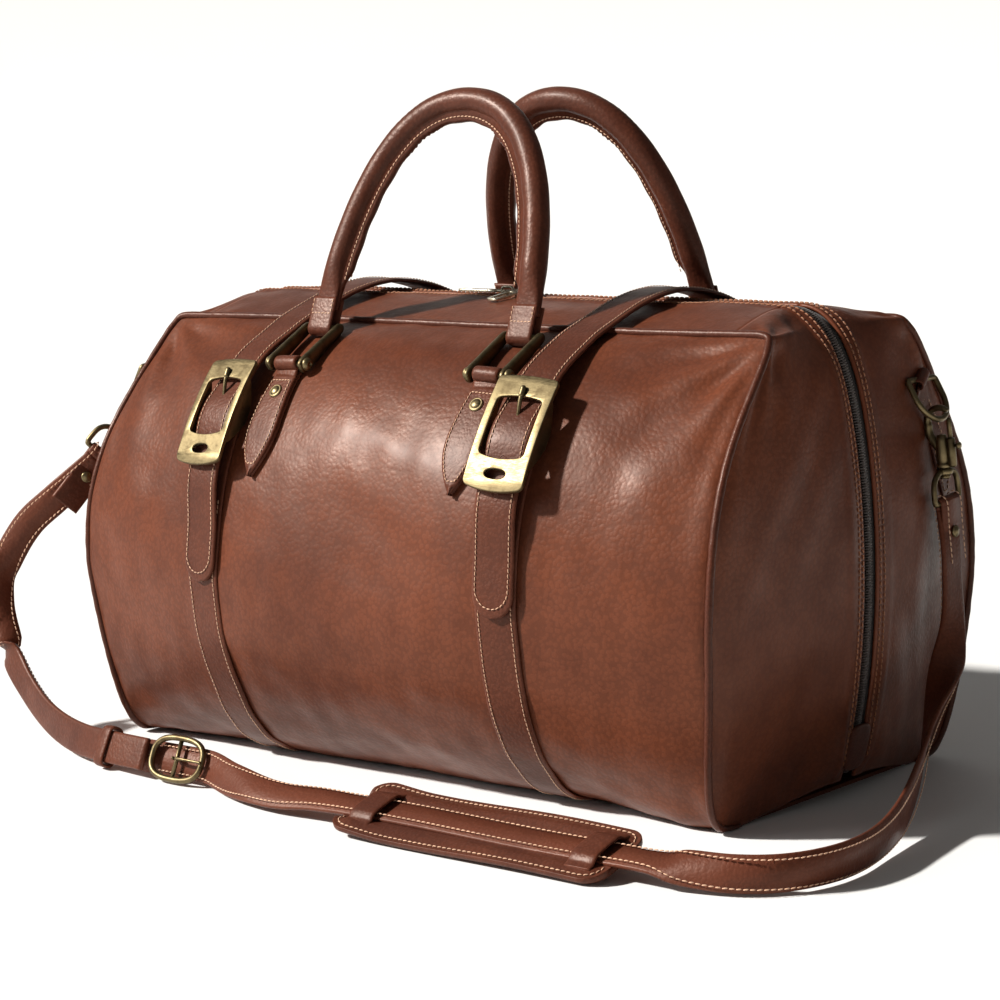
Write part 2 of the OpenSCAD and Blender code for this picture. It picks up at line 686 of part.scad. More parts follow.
module snap_hook(at, pose) {
    color(brass)
    hook_frame(at, pose, pose[2]) difference() {
        union() {
            rotate([90, 0, 0]) rotate([0, 0, 45]) rotate_extrude(angle = 208, $fn = 48)
                translate([bow_r, 0]) circle(r = bow_wire, $fn = 32);
            translate([0, 0, body_z]) cylinder(r = 4.6, h = -7.5 - body_z, $fn = 40);
            translate([bolt_x, 0, body_z + 1]) cylinder(r = 3.4, h = -10 - body_z, $fn = 40);
            translate([0, 0, hub_z - 0.4]) cylinder(r = 2.2, h = body_z - hub_z + 1.4, $fn = 40);
            translate([0, 0, hub_z - 2.4]) cylinder(r = 3.6, h = 2, $fn = 40);
        }
        translate([bolt_x, 0, body_z + 2]) cylinder(r = 1.6 + fit, h = 34, $fn = 40);
        translate([bolt_x, -1.5, body_z + 3]) cube([6, 3, 14]);
    }
}
module snap_bolt(at, pose) {
    color(brass)
    hook_frame(at, pose, pose[2]) {
        translate([bolt_x, 0, -17]) cylinder(r = 1.6, h = 19.9, $fn = 40);
        translate([bolt_x, 0, thumb_z]) rotate([0, 90, 0]) cylinder(r = 1.2, h = 6, $fn = 32);
        translate([bolt_x + 5, 0, thumb_z]) rotate([0, 90, 0]) cylinder(r = 2.2, h = 2, $fn = 32);
    }
}
module swivel_eye(at, pose) {
    arm = ring_w / 2;
    color(brass)
    hook_frame(at, pose, pose[3]) {
        translate([0, 0, hub_z]) difference() {
            cylinder(r = 5.4, h = 3.6, $fn = 40);
            translate([0, 0, -1]) cylinder(r = 2.2 + fit, h = 6, $fn = 40);
        }
        for (e = [-1, 1]) {
            translate([0, e * 4.6, hub_z + 1.8]) rotate([e * -113, 0, 0])
                cylinder(r = 1.8, h = arm - 3.6, $fn = 32);
            translate([0, e * arm, eye_bar_z]) cylinder(r = 1.9, h = hub_z - eye_bar_z - 2.6, $fn = 32);
            translate([0, e * arm, hub_z - 2.6]) sphere(r = 1.9, $fn = 32);
            translate([0, e * arm, eye_bar_z]) sphere(r = 1.9, $fn = 32);
        }
        translate([0, 0, eye_bar_z]) rotate([90, 0, 0])
            cylinder(r = 1.9, h = 2 * arm, center = true, $fn = 32);
    }
}
module snap_hook_right() snap_hook(hook_right_at, hook_right_pose);
module snap_hook_left() snap_hook(hook_left_at, hook_left_pose);
module snap_bolt_right() snap_bolt(hook_right_at, hook_right_pose);
module snap_bolt_left() snap_bolt(hook_left_at, hook_left_pose);
module swivel_eye_right() swivel_eye(hook_right_at, hook_right_pose);
module swivel_eye_left() swivel_eye(hook_left_at, hook_left_pose);

// ---- shoulder strap: centre points with the direction of the strap's width at each
long_route = [
    [[285, 87, 175], [0, 1, 0.1]], [[287, 85, 154], [0, 1, 0.05]],
    [[289, 84, 131], [0, 1, 0]], [[292, 81, 109], [0.1, 1, 0]],
    [[297, 70, 89], [0.3, 0.9, 0.1]], [[306, 46, 71], [0.3, 0.7, 0.5]],
    [[318, 14, 52], [0.2, 0.4, 0.8]], [[333, -24, 34], [0.1, 0.1, 1]],
    [[348, -68, 20], [0, 0, 1]], [[361, -112, 14], [0, 0, 1]],
    [[369, -152, 13], [0, 0, 1]], [[367, -186, 13], [0, 0, 1]],
    [[354, -214, 13], [0, 0.1, 1]], [[331, -230, 13], [0, 0.3, 1]],
    [[304, -237, 14], [0, 0.6, 0.8]], [[284, -238, 14.5], [0, 0.96, 0.28]],
    [[240, -238, 14.5], [0, 0.96, 0.28]], [[190, -238, 14.5], [0, 0.96, 0.28]],
    [[140, -238, 14.5], [0, 0.96, 0.28]], [[90, -238, 14.5], [0, 0.96, 0.28]],
    [[50, -238, 14.5], [0, 0.96, 0.28]], [[22, -238, 14.5], [0, 0.94, 0.34]],
    [[-8, -239, 12], [0, 0.85, 0.5]], [[-36, -236, 12], [0, 0.75, 0.6]],
    [[-64, -228, 12], [0, 0.5, 0.85]], [[-92, -219, 14], [0, 0.4, 0.92]],
    [[-120, -218, 14], [0, 0.4, 0.92]], [[-152, -218, 14], [0, 0.4, 0.92]]];
short_route = [
    [[-303, -114, 192], [-0.4, -0.6, 0.68]], [[-314, -125, 177], [-0.4, -0.6, 0.68]],
    [[-328, -135, 163], [-0.2, -0.3, 0.9]], [[-343, -144, 148], [0, -0.1, 1]],
    [[-354, -151, 130], [0, 0, 1]], [[-360, -158, 110], [0, 0, 1]],
    [[-358, -164, 90], [-0.5, -0.2, 0.8]], [[-348, -169, 70], [-0.7, -0.1, 0.6]],
    [[-331, -174, 51], [-0.4, 0.2, 0.9]], [[-308, -181, 34], [0, 0.1, 1]],
    [[-282, -190, 22], [0, 0.1, 1]], [[-252, -201, 16], [0, 0.2, 1]],
    [[-220, -211, 14], [0, 0.3, 1]], [[-184, -219, 15], [0, 0.4, 0.92]],
    [[-144, -224, 16], [0, 0.4, 0.92]]];

// where the hooks hang at the standard size; the strap's ends move with them at any other
hook_rest_right = [282.305, 81.738, 233.655];
hook_rest_left = [-282.305, -81.738, 235.655];
function tied(route, off) = [for (e = route)
    let (high = min(1, max(0, (e[0][2] - 20) / 150)))
    let (far = max(high, min(1, max(0, (abs(e[0][0]) - 290) / 40))))
    [e[0] + [off[0] * far, off[1] * high, off[2] * high], e[1]]];

// rings between two neighbouring points, on a smooth curve through all of them
function spot(r, i, k) = r[max(0, min(len(r) - 1, i))][k];
function smooth(r, i, k, q) =
    let (a = spot(r, i - 1, k), b = spot(r, i, k), c = spot(r, i + 1, k), d = spot(r, i + 2, k))
    0.5 * (2 * b + (c - a) * q + (2 * a - 5 * b + 4 * c - d) * q * q + (3 * b - a - 3 * c + d) * q * q * q);
module strap_along(route, fine) {
    c = concat([for (i = [0:len(route) - 2]) for (q = [0:fine - 1]) smooth(route, i, 0, q / fine)],
        [route[len(route) - 1][0]]);
    w = concat([for (i = [0:len(route) - 2]) for (q = [0:fine - 1]) smooth(route, i, 1, q / fine)],
        [route[len(route) - 1][1]]);
    color(hide)
    sweep([for (i = [0:len(c) - 1])
        let (t = tangent(c, i))
        let (u = unit(w[i] - t * (w[i] * t)))
        let (n = cross(t, u))
        [c[i] - u * cord_w / 2 - n * cord_t / 2, c[i] + u * cord_w / 2 - n * cord_t / 2,
         c[i] + u * cord_w / 2 + n * cord_t / 2, c[i] - u * cord_w / 2 + n * cord_t / 2]]);
}
module eye_loop(at, pose) {
    hook_frame(at, pose, pose[3]) translate([0, 0, eye_bar_z]) rotate([90, 0, 0]) difference() {
        cylinder(r = 2.1 + cord_t, h = cord_w, center = true, $fn = 40);
        cylinder(r = 2.1, h = cord_w + 2, center = true, $fn = 40);
    }
}
module shoulder_strap_long() {
    color(hide) {
        strap_along(tied(long_route, hook_right_at - hook_rest_right), 2);
        eye_loop(hook_right_at, hook_right_pose);
    }
}
module shoulder_strap_short() {
    color(hide) {
        strap_along(tied(short_route, hook_left_at - hook_rest_left), 2);
        eye_loop(hook_left_at, hook_left_pose);
    }
}

pad_at = [158, -238, 14.5];
pad_tilt = 16.3;
pad_t = 4;
pad_gap = 0.6;               // clearance between the strap and the pad
module shoulder_pad() {
    bridge = 12;
    inset = 18;
    color(hide)
    translate(pad_at) rotate([pad_tilt, 0, 0]) {
        translate([0, 0, -cord_t / 2 - pad_gap - pad_t]) linear_extrude(pad_t) rounded(pad_len, pad_w, 10);
        for (e = [-1, 1]) translate([e * (pad_len / 2 - inset), 0, 0]) {
            for (edge = [-1, 1])
                translate([-bridge / 2, edge * (cord_w / 2 + 3) - 2.2, -cord_t / 2 - pad_gap - 0.5])
                    cube([bridge, 4.4, cord_t + 2 * pad_gap + 0.5 + 2]);
            translate([-bridge / 2, -cord_w / 2 - 4, cord_t / 2 + pad_gap]) cube([bridge, cord_w + 8, 2]);
        }
    }
}

buckle_at = [-118, -222, 16.4];
buckle_tilt = 66;
module strap_frame() {
    translate(buckle_at) rotate([buckle_tilt, 0, 0]) children();
}
module strap_buckle() {
    color(brass)
    strap_frame() {
        translate([0, 0, -1.6]) linear_extrude(3.2) difference() {
            rounded(50, cord_w + 10, 12);
            rounded(42, cord_w + 2, 9);
        }
        rotate([90, 0, 0]) cylinder(r = 1.5, h = cord_w + 5, center = true, $fn = 32);
    }
}
module strap_buckle_tongue() {
    color(brass)
    strap_frame() difference() {
        union() {
            rotate([90, 0, 0]) cylinder(r = 2.8, h = 4.4, center = true, $fn = 40);
            translate([0, 0, 3.2]) rotate([0, 90 - 2, 0]) cylinder(r = 1.2, h = 24.5, $fn = 32);
        }
        rotate([90, 0, 0]) cylinder(r = 1.5 + fit, h = 8, center = true, $fn = 40);
    }
}
module strap_keeper() {
    color(hide)
    translate([-188, -218.5, 15]) rotate([0, 0, -10]) rotate([buckle_tilt, 0, 0]) difference() {
        cube([10, cord_w + 5, 2 * cord_t + 5], center = true);
        cube([12, cord_w + 1, 2 * cord_t + 1], center = true);
    }
}
module strap_rivets() {
    color(brass)
    for (spec = [[hook_right_at, hook_right_pose], [hook_left_at, hook_left_pose]])
        hook_frame(spec[0], spec[1], spec[1][3]) translate([cord_t / 2 + 0.2, 0, eye_bar_z - 20])
        rotate([0, 90, 0]) rivet(8);
}

front_panel();
back_panel();
base_panel();
top_strip_front();
top_strip_back();
right_end_front();
right_end_back();
left_end_front();
left_end_back();
piping_front();
piping_back();
zip_tape();
zip_coil();
zip_end_tabs();
lining();
base_board();
lower_strap_left();
lower_strap_right();
upper_strap_left();
upper_strap_right();
buckle_left();
buckle_right();
buckle_tongue_left();
buckle_tongue_right();
handle_front();
handle_back();
handle_core_front();
handle_core_back();
shackle_front_left();
shackle_front_right();
shackle_back_left();
shackle_back_right();
shackle_pins_front();
shackle_pins_back();
anchor_tab_front_left();
anchor_tab_front_right();
anchor_tab_back_left();
anchor_tab_back_right();
tab_rivets();
ring_tab_left();
ring_tab_right();
d_ring_left();
d_ring_right();
snap_hook_left();
snap_hook_right();
snap_bolt_left();
snap_bolt_right();
swivel_eye_left();
swivel_eye_right();
shoulder_strap_long();
shoulder_strap_short();
strap_buckle();
strap_buckle_tongue();
strap_keeper();
shoulder_pad();
strap_rivets();
slider_left();
slider_right();
puller_left();
puller_right();
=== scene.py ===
import json
import math
import bmesh
import bpy
import numpy as np
from mathutils import Matrix, Vector

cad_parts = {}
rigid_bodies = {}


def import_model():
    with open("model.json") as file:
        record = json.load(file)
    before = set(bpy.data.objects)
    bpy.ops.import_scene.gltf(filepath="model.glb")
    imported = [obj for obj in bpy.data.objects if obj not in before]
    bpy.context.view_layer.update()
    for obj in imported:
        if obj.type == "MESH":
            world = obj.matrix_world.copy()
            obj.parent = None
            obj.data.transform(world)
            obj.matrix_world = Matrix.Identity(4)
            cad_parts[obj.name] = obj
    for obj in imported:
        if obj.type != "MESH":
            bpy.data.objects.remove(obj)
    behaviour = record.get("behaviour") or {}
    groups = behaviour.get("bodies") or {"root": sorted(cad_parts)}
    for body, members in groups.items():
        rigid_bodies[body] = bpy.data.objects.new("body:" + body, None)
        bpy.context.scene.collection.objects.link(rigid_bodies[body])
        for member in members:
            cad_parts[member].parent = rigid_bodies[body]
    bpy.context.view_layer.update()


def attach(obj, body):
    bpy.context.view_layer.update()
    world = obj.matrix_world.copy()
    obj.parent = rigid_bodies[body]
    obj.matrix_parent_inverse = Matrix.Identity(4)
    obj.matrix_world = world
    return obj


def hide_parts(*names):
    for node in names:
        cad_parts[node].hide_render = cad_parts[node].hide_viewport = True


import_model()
print("stage: frame loaded")

# lengths in this script are millimetres; they become metres when a mesh is made
mm = 0.001
bag = {"length": 500, "endDepth": 308, "footDepth": 280, "bellyDepth": 380, "topDepth": 154,
       "seamHeight": 298, "crown": 14, "endBulge": 30, "baseWidth": 190, "seamBow": 14,
       "hide": 2.4, "baseZ": 0.6, "cornerRun": 28, "zipGap": 16}
halfLen = bag["length"] / 2
zipZ = bag["seamHeight"] + bag["crown"]
seamShare = 0.86


# ---- camera first
def setCamera():
    camera = {"azimuth": 39.3, "elevation": 8.0, "distance": 1917, "aimX": -14.7, "aimZ": 172, "lens": 100.1,
              "roll": -1.07}
    a = math.radians(camera["azimuth"])
    e = math.radians(camera["elevation"])
    right = Vector((math.cos(a), math.sin(a), 0))
    back = Vector((math.sin(a) * math.cos(e), -math.cos(a) * math.cos(e), math.sin(e)))
    up = back.cross(right)
    aim = Vector((0, 0, camera["aimZ"])) + right * camera["aimX"]
    c = math.cos(math.radians(camera["roll"]))
    s = math.sin(math.radians(camera["roll"]))
    turned = Matrix((right * c + up * s, up * c - right * s, back)).transposed()
    data = bpy.data.cameras.new("camera")
    data.lens = camera["lens"]
    data.sensor_width = 36
    data.clip_end = 60
    eye = bpy.data.objects.new("camera", data)
    bpy.context.scene.collection.objects.link(eye)
    eye.location = (aim + back * camera["distance"]) * mm
    eye.rotation_mode = "QUATERNION"
    eye.rotation_quaternion = turned.to_quaternion()
    bpy.context.scene.camera = eye


setCamera()


# ---- small helpers
def mix(a, b, k):
    return a + (b - a) * k


def smoothStep(a, b, x):
    k = np.clip((x - a) / (b - a), 0, 1)
    return k * k * (3 - 2 * k)


def unit(v):
    v = np.asarray(v, float)
    return v / np.maximum(np.linalg.norm(v, axis=-1, keepdims=True), 1e-9)


def bez(a, b, c, d, k):
    return a * (1 - k) ** 3 + 3 * b * k * (1 - k) ** 2 + 3 * c * k * k * (1 - k) + d * k ** 3


def through(points, n, closed=False):
    # smooth line through the given points, n steps between neighbours
    p = np.asarray(points, float)
    count = len(p)
    out = []
    last = count if closed else count - 1
    for i in range(last):
        if closed:
            a, b, c, d = p[(i - 1) % count], p[i], p[(i + 1) % count], p[(i + 2) % count]
        else:
            a, b, c, d = p[max(i - 1, 0)], p[i], p[i + 1], p[min(i + 2, count - 1)]
        for q in np.arange(n) / n:
            cubic = (3 * b - a - 3 * c + d) * q ** 3
            out.append(0.5 * (2 * b + (c - a) * q + (2 * a - 5 * b + 4 * c - d) * q * q + cubic))
    if not closed:
        out.append(p[-1])
    return np.array(out)


def tangents(path, closed=False):
    if closed:
        return unit(np.roll(path, -1, 0) - np.roll(path, 1, 0))
    return unit(np.vstack([path[1] - path[0], path[2:] - path[:-2], path[-1] - path[-2]]))


def lengths(path):
    steps = np.linalg.norm(np.diff(path, axis=0), axis=1)
    return np.concatenate([[0], np.cumsum(steps)])


def resample(path, extra, step):
    # points at even distances, with the rows of extra carried along
    run = lengths(path)
    count = max(2, int(round(run[-1] / step)) + 1)
    at = np.linspace(0, run[-1], count)
    new = np.stack([np.interp(at, run, path[:, i]) for i in range(3)], 1)
    carried = [np.stack([np.interp(at, run, e[:, i]) for i in range(e.shape[1])], 1) for e in extra]
    return new, carried


def ripple(u, v, seed, wave, parts=7):
    # smooth random waves of about the given length
    rng = np.random.RandomState(seed)
    out = 0
    for _ in range(parts):
        angle = rng.uniform(0, math.pi)
        size = 2 * math.pi / (wave * rng.uniform(0.7, 1.6))
        out = out + np.sin((u * math.cos(angle) + v * math.sin(angle)) * size + rng.uniform(0, 6.3))
    return out / math.sqrt(parts)


# ---- parts are pairs of points and faces
def joined(parts):
    points, faces = [], []
    start = 0
    for p, f in parts:
        points.append(np.asarray(p, float))
        faces += [[i + start for i in face] for face in f]
        start += len(p)
    return np.vstack(points), faces


def moved(part, matrix):
    m = np.array(matrix)
    return part[0] @ m[:3, :3].T + m[:3, 3], part[1]


def loft(rings, closed=False, caps=True):
    n, m = len(rings), len(rings[0])
    faces = []
    for k in range(n if closed else n - 1):
        a, b = k * m, ((k + 1) % n) * m
        faces += [[a + j, a + (j + 1) % m, b + (j + 1) % m, b + j] for j in range(m)]
    if caps and not closed:
        faces.append(list(range(m))[::-1])
        faces.append([(n - 1) * m + j for j in range(m)])
    return np.asarray(rings, float).reshape(-1, 3), faces


def frames(path, closed=False, hint=(0.2, 0.3, 1)):
    # side and up directions that turn as little as possible along the path
    t = tangents(path, closed)
    up = np.zeros_like(t)
    v = unit(np.array(hint) - t[0] * np.dot(hint, t[0]))
    for i in range(len(t)):
        v = unit(v - t[i] * np.dot(v, t[i]))
        up[i] = v
    if closed:
        end = unit(v - t[0] * np.dot(v, t[0]))
        side = np.cross(t[0], up[0])
        slip = math.atan2(np.dot(end, side), np.dot(end, up[0]))
        for i in range(len(t)):
            a = -slip * i / len(t)
            up[i] = up[i] * math.cos(a) + np.cross(t[i], up[i]) * math.sin(a)
    return t, np.cross(t, up), up


def tube(path, radius, sides=16, closed=False, hint=(0.2, 0.3, 1), caps=True):
    path = np.asarray(path, float)
    t, side, up = frames(path, closed, hint)
    r = np.broadcast_to(np.asarray(radius, float), (len(path),))
    a = np.arange(sides) * 2 * math.pi / sides
    ring = side[:, None, :] * np.cos(a)[None, :, None] + up[:, None, :] * np.sin(a)[None, :, None]
    return loft(path[:, None, :] + ring * r[:, None, None], closed, caps)


def rounded(path, radius, sides=16):
    # tube with half-round ends
    path = np.asarray(path, float)
    cut = np.array([0.15, 0.5, 0.8, 0.96])
    t = tangents(path)
    head = [path[0] - t[0] * radius * math.sqrt(1 - c * c) for c in cut]
    tail = [path[-1] + t[-1] * radius * math.sqrt(1 - c * c) for c in cut[::-1]]
    r = np.concatenate([cut * radius, np.full(len(path), radius), cut[::-1] * radius])
    return tube(np.vstack([head, path, tail]), r, sides)


def lathe(profile, sides=32):
    # profile is (radius, height) pairs, turned about local z
    a = np.arange(sides) * 2 * math.pi / sides
    rings = [[(r * math.cos(k), r * math.sin(k), z) for k in a] for r, z in profile]
    return loft(rings)


def grid(points):
    ni, nj = points.shape[:2]
    i, j = np.meshgrid(np.arange(ni - 1), np.arange(nj - 1), indexing="ij")
    a = (i * nj + j).ravel()
    return points.reshape(-1, 3), np.stack([a, a + nj, a + nj + 1, a + 1], 1).tolist()


def gridNormals(points):
    di = np.gradient(points, axis=0)
    dj = np.gradient(points, axis=1)
    return unit(np.cross(di, dj))


def shell(points, thick, normals=None):
    # sheet with a real thickness and a rounded rim; points are its outer side
    n = gridNormals(points) if normals is None else normals
    ni, nj = points.shape[:2]
    m = ni * nj
    outer, faces = grid(points)
    inner = (points - n * thick).reshape(-1, 3)
    back = [[m + f[0], m + f[3], m + f[2], m + f[1]] for f in faces]
    rim = [i * nj for i in range(ni)] + [(ni - 1) * nj + j for j in range(1, nj)]
    rim += [i * nj + nj - 1 for i in range(ni - 2, -1, -1)] + [j for j in range(nj - 2, 0, -1)]
    bulge = []
    centre = points.reshape(-1, 3)
    for k, a in enumerate(rim):
        ahead, behind = centre[rim[(k + 1) % len(rim)]], centre[rim[k - 1]]
        out = np.cross(unit(ahead - behind), n.reshape(-1, 3)[a])
        bulge.append(centre[a] - n.reshape(-1, 3)[a] * thick / 2 + unit(out) * thick * 0.32)
    walls = []
    for k in range(len(rim)):
        a, b = rim[k], rim[(k + 1) % len(rim)]
        c, d = 2 * m + k, 2 * m + (k + 1) % len(rim)
        walls += [[a, c, d, b], [c, m + a, m + b, d]]
    return np.vstack([outer, inner, bulge]), faces + back + walls


def strapSection(half, thick, edge=0.9, crown=0.25):
    # half section of a strap with turned edges, as (across, up) pairs all the way round
    e = min(edge, thick * 0.45)
    top = [(-half + e * 2.2, thick + crown * 0.6), (-half * 0.5, thick + crown), (0, thick + crown * 1.1),
           (half * 0.5, thick + crown), (half - e * 2.2, thick + crown * 0.6)]
    right = [(half - e * 0.7, thick - e * 0.15), (half, thick * 0.6), (half, thick * 0.35),
             (half - e * 0.7, 0)]
    left = [(-half + e * 0.7, 0), (-half, thick * 0.35), (-half, thick * 0.6),
            (-half + e * 0.7, thick - e * 0.15)]
    return top + right + left


def ribbon(path, normals, half, thick, lift=0.0, crown=0.25):
    path = np.asarray(path, float)
    t = tangents(path)
    half = np.broadcast_to(np.asarray(half, float), (len(path),))
    side = unit(np.cross(normals, t))
    up = np.cross(t, side)
    rings = []
    for i in range(len(path)):
        rings.append([path[i] + side[i] * u + up[i] * (v + lift)
                      for u, v in strapSection(half[i], thick, crown=crown)])
    return loft(np.array(rings)[:, ::-1])


scene = bpy.context.scene
# height from which soft pieces are pressed up, and the gap they keep from the floor
pressFrom, pressGap = 3, 0.15


def build(name, part, material, body="root", replaces=(), smooth=True, bevel=0.0, extra=None):
    # turns a part into a named piece that rides on a body
    points, faces = part
    points = np.array(points, float)
    if points[:, 2].min() < 0.1:
        # what presses on the floor spreads out instead of going through it
        room = pressFrom - pressGap
        low = np.minimum(points[:, 2], pressFrom)
        pressed = pressGap + room * np.exp((low - pressFrom) / room)
        points[:, 2] = np.where(points[:, 2] < pressFrom, pressed, points[:, 2])
    data = bpy.data.meshes.new(name)
    data.from_pydata((np.asarray(points) * mm).tolist(), [], faces)
    data.validate()
    data.polygons.foreach_set("use_smooth", [smooth] * len(data.polygons))
    data.materials.append(material)
    obj = bpy.data.objects.new(name, data)
    scene.collection.objects.link(obj)
    if extra is not None:
        layer = data.attributes.new("tone", "FLOAT", "POINT")
        layer.data.foreach_set("value", np.asarray(extra, np.float32))
    if bevel:
        softer = obj.modifiers.new("bevel", "BEVEL")
        softer.width = bevel * mm
        softer.segments = 3
        softer.limit_method = "ANGLE"
        softer.angle_limit = math.radians(35)
        softer.harden_normals = False
    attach(obj, body)
    if replaces:
        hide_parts(*replaces)
    return obj


# ---- materials
def newMaterial(name):
    m = bpy.data.materials.new(name)
    m.use_nodes = True
    return m, m.node_tree.nodes, m.node_tree.links, m.node_tree.nodes["Principled BSDF"]


def noiseNode(nodes, links, where, scale, detail=4, rough=0.55, distortion=0.0):
    n = nodes.new("ShaderNodeTexNoise")
    n.inputs["Scale"].default_value = scale
    n.inputs["Detail"].default_value = detail
    n.inputs["Roughness"].default_value = rough
    n.inputs["Distortion"].default_value = distortion
    links.new(where, n.inputs["Vector"])
    return n.outputs["Fac"]


def rampNode(nodes, links, value, low, high, a, b):
    # maps low..high on to a..b, smoothly
    n = nodes.new("ShaderNodeMapRange")
    n.interpolation_type = "SMOOTHSTEP"
    n.inputs["From Min"].default_value = low
    n.inputs["From Max"].default_value = high
    n.inputs["To Min"].default_value = a
    n.inputs["To Max"].default_value = b
    links.new(value, n.inputs["Value"])
    return n.outputs["Result"]


def mixNode(nodes, links, share, a, b, mode="MIX"):
    n = nodes.new("ShaderNodeMix")
    n.data_type = "RGBA"
    n.blend_type = mode
    for value, socket in ((share, n.inputs["Factor"]), (a, n.inputs[6]), (b, n.inputs[7])):
        if isinstance(value, (int, float)):
            socket.default_value = value
        elif isinstance(value, tuple):
            socket.default_value = (*value, 1)
        else:
            links.new(value, socket)
    return n.outputs[2]


def mathNode(nodes, links, kind, a, b=0.0):
    n = nodes.new("ShaderNodeMath")
    n.operation = kind
    for value, socket in ((a, n.inputs[0]), (b, n.inputs[1])):
        if isinstance(value, (int, float)):
            socket.default_value = value
        else:
            links.new(value, socket)
    return n.outputs[0]


def bumpNode(nodes, links, height, strength, distance, before=None):
    n = nodes.new("ShaderNodeBump")
    n.inputs["Strength"].default_value = strength
    n.inputs["Distance"].default_value = distance
    links.new(height, n.inputs["Height"])
    if before is not None:
        links.new(before, n.inputs["Normal"])
    return n.outputs["Normal"]


def leatherMaterial(name, base, deep, grain, bump, roughness, coat):
    m, nodes, links, shader = newMaterial(name)
    where = nodes.new("ShaderNodeTexCoord").outputs["Object"]
    broad = noiseNode(nodes, links, where, 7, 3)
    patch = noiseNode(nodes, links, where, 38, 4, 0.6)
    wander = nodes.new("ShaderNodeTexNoise")
    wander.inputs["Scale"].default_value = 160
    links.new(where, wander.inputs["Vector"])
    bent = nodes.new("ShaderNodeMix")
    bent.data_type = "VECTOR"
    bent.inputs["Factor"].default_value = 0.0025
    links.new(where, bent.inputs[4])
    links.new(wander.outputs["Color"], bent.inputs[5])
    cells = nodes.new("ShaderNodeTexVoronoi")
    cells.feature = "F1"
    cells.inputs["Scale"].default_value = grain
    cells.inputs["Randomness"].default_value = 0.95
    links.new(bent.outputs[1], cells.inputs["Vector"])
    pebble = rampNode(nodes, links, cells.outputs["Distance"], 0.12, 0.75, 1, 0)
    fine = noiseNode(nodes, links, where, grain * 5, 3)
    pores = noiseNode(nodes, links, where, grain * 0.35, 4, 0.62)
    # pull-up colour: broad drift, small patches, darker valleys between the pebbles
    tone = mathNode(nodes, links, "ADD", mathNode(nodes, links, "MULTIPLY", broad, 0.6),
                    mathNode(nodes, links, "MULTIPLY", patch, 0.4))
    colour = mixNode(nodes, links, rampNode(nodes, links, tone, 0.36, 0.64, 0, 1), deep, base)
    valley = rampNode(nodes, links, pebble, 0.05, 0.5, 0.22, 0)
    colour = mixNode(nodes, links, valley, colour, tuple(c * 0.35 for c in deep))
    edge = nodes.new("ShaderNodeAttribute")
    edge.attribute_name = "tone"
    edgeShare = mathNode(nodes, links, "MULTIPLY", edge.outputs["Fac"], 0.75)
    colour = mixNode(nodes, links, edgeShare, colour, tuple(c * 0.3 for c in deep))
    # ridges rub lighter
    shape = nodes.new("ShaderNodeNewGeometry")
    rub = rampNode(nodes, links, shape.outputs["Pointiness"], 0.515, 0.57, 0, 0.3)
    colour = mixNode(nodes, links, rub, colour, tuple(min(1, c * 1.7) for c in base))
    links.new(colour, shader.inputs["Base Color"])
    links.new(rampNode(nodes, links, patch, 0.3, 0.7, roughness + 0.06, roughness - 0.05),
              shader.inputs["Roughness"])
    height = mathNode(nodes, links, "ADD", mathNode(nodes, links, "MULTIPLY", pebble, 0.75),
                      mathNode(nodes, links, "MULTIPLY", fine, 0.14))
    first = bumpNode(nodes, links, pores, bump * 0.8, 0.0012)
    links.new(bumpNode(nodes, links, height, bump, 0.0004, first), shader.inputs["Normal"])
    shader.inputs["Specular IOR Level"].default_value = 0.26
    shader.inputs["Specular Tint"].default_value = (1.0, 0.74, 0.62, 1)
    shader.inputs["Coat Weight"].default_value = coat
    shader.inputs["Coat Roughness"].default_value = 0.28
    return m


def brassMaterial(name, base, dirt, roughness):
    m, nodes, links, shader = newMaterial(name)
    where = nodes.new("ShaderNodeTexCoord").outputs["Object"]
    cloud = noiseNode(nodes, links, where, 120, 5, 0.6)
    specks = noiseNode(nodes, links, where, 900, 2, 0.5)
    stretched = nodes.new("ShaderNodeMapping")
    stretched.inputs["Scale"].default_value = (1, 1, 14)
    links.new(where, stretched.inputs["Vector"])
    brushed = noiseNode(nodes, links, stretched.outputs["Vector"], 260, 3, 0.5)
    shape = nodes.new("ShaderNodeNewGeometry")
    worn = rampNode(nodes, links, shape.outputs["Pointiness"], 0.5, 0.56, 0, 0.8)
    dirtShare = rampNode(nodes, links, cloud, 0.42, 0.68, 0, 0.65)
    colour = mixNode(nodes, links, dirtShare, base, dirt)
    colour = mixNode(nodes, links, worn, colour, tuple(min(1, c * 1.45) for c in base))
    links.new(colour, shader.inputs["Base Color"])
    shader.inputs["Metallic"].default_value = 1.0
    rough = rampNode(nodes, links, brushed, 0.3, 0.7, roughness - 0.08, roughness + 0.1)
    links.new(rough, shader.inputs["Roughness"])
    links.new(bumpNode(nodes, links, specks, 0.12, 0.0002), shader.inputs["Normal"])
    return m


def threadMaterial(name, base):
    m, nodes, links, shader = newMaterial(name)
    where = nodes.new("ShaderNodeTexCoord").outputs["Object"]
    strand = noiseNode(nodes, links, where, 1600, 2)
    fade = noiseNode(nodes, links, where, 45, 3)
    colour = mixNode(nodes, links, rampNode(nodes, links, fade, 0.3, 0.7, 0, 1), base,
                     tuple(c * 0.72 for c in base))
    links.new(colour, shader.inputs["Base Color"])
    shader.inputs["Roughness"].default_value = 0.62
    shader.inputs["Sheen Weight"].default_value = 0.3
    links.new(bumpNode(nodes, links, strand, 0.5, 0.0002), shader.inputs["Normal"])
    return m


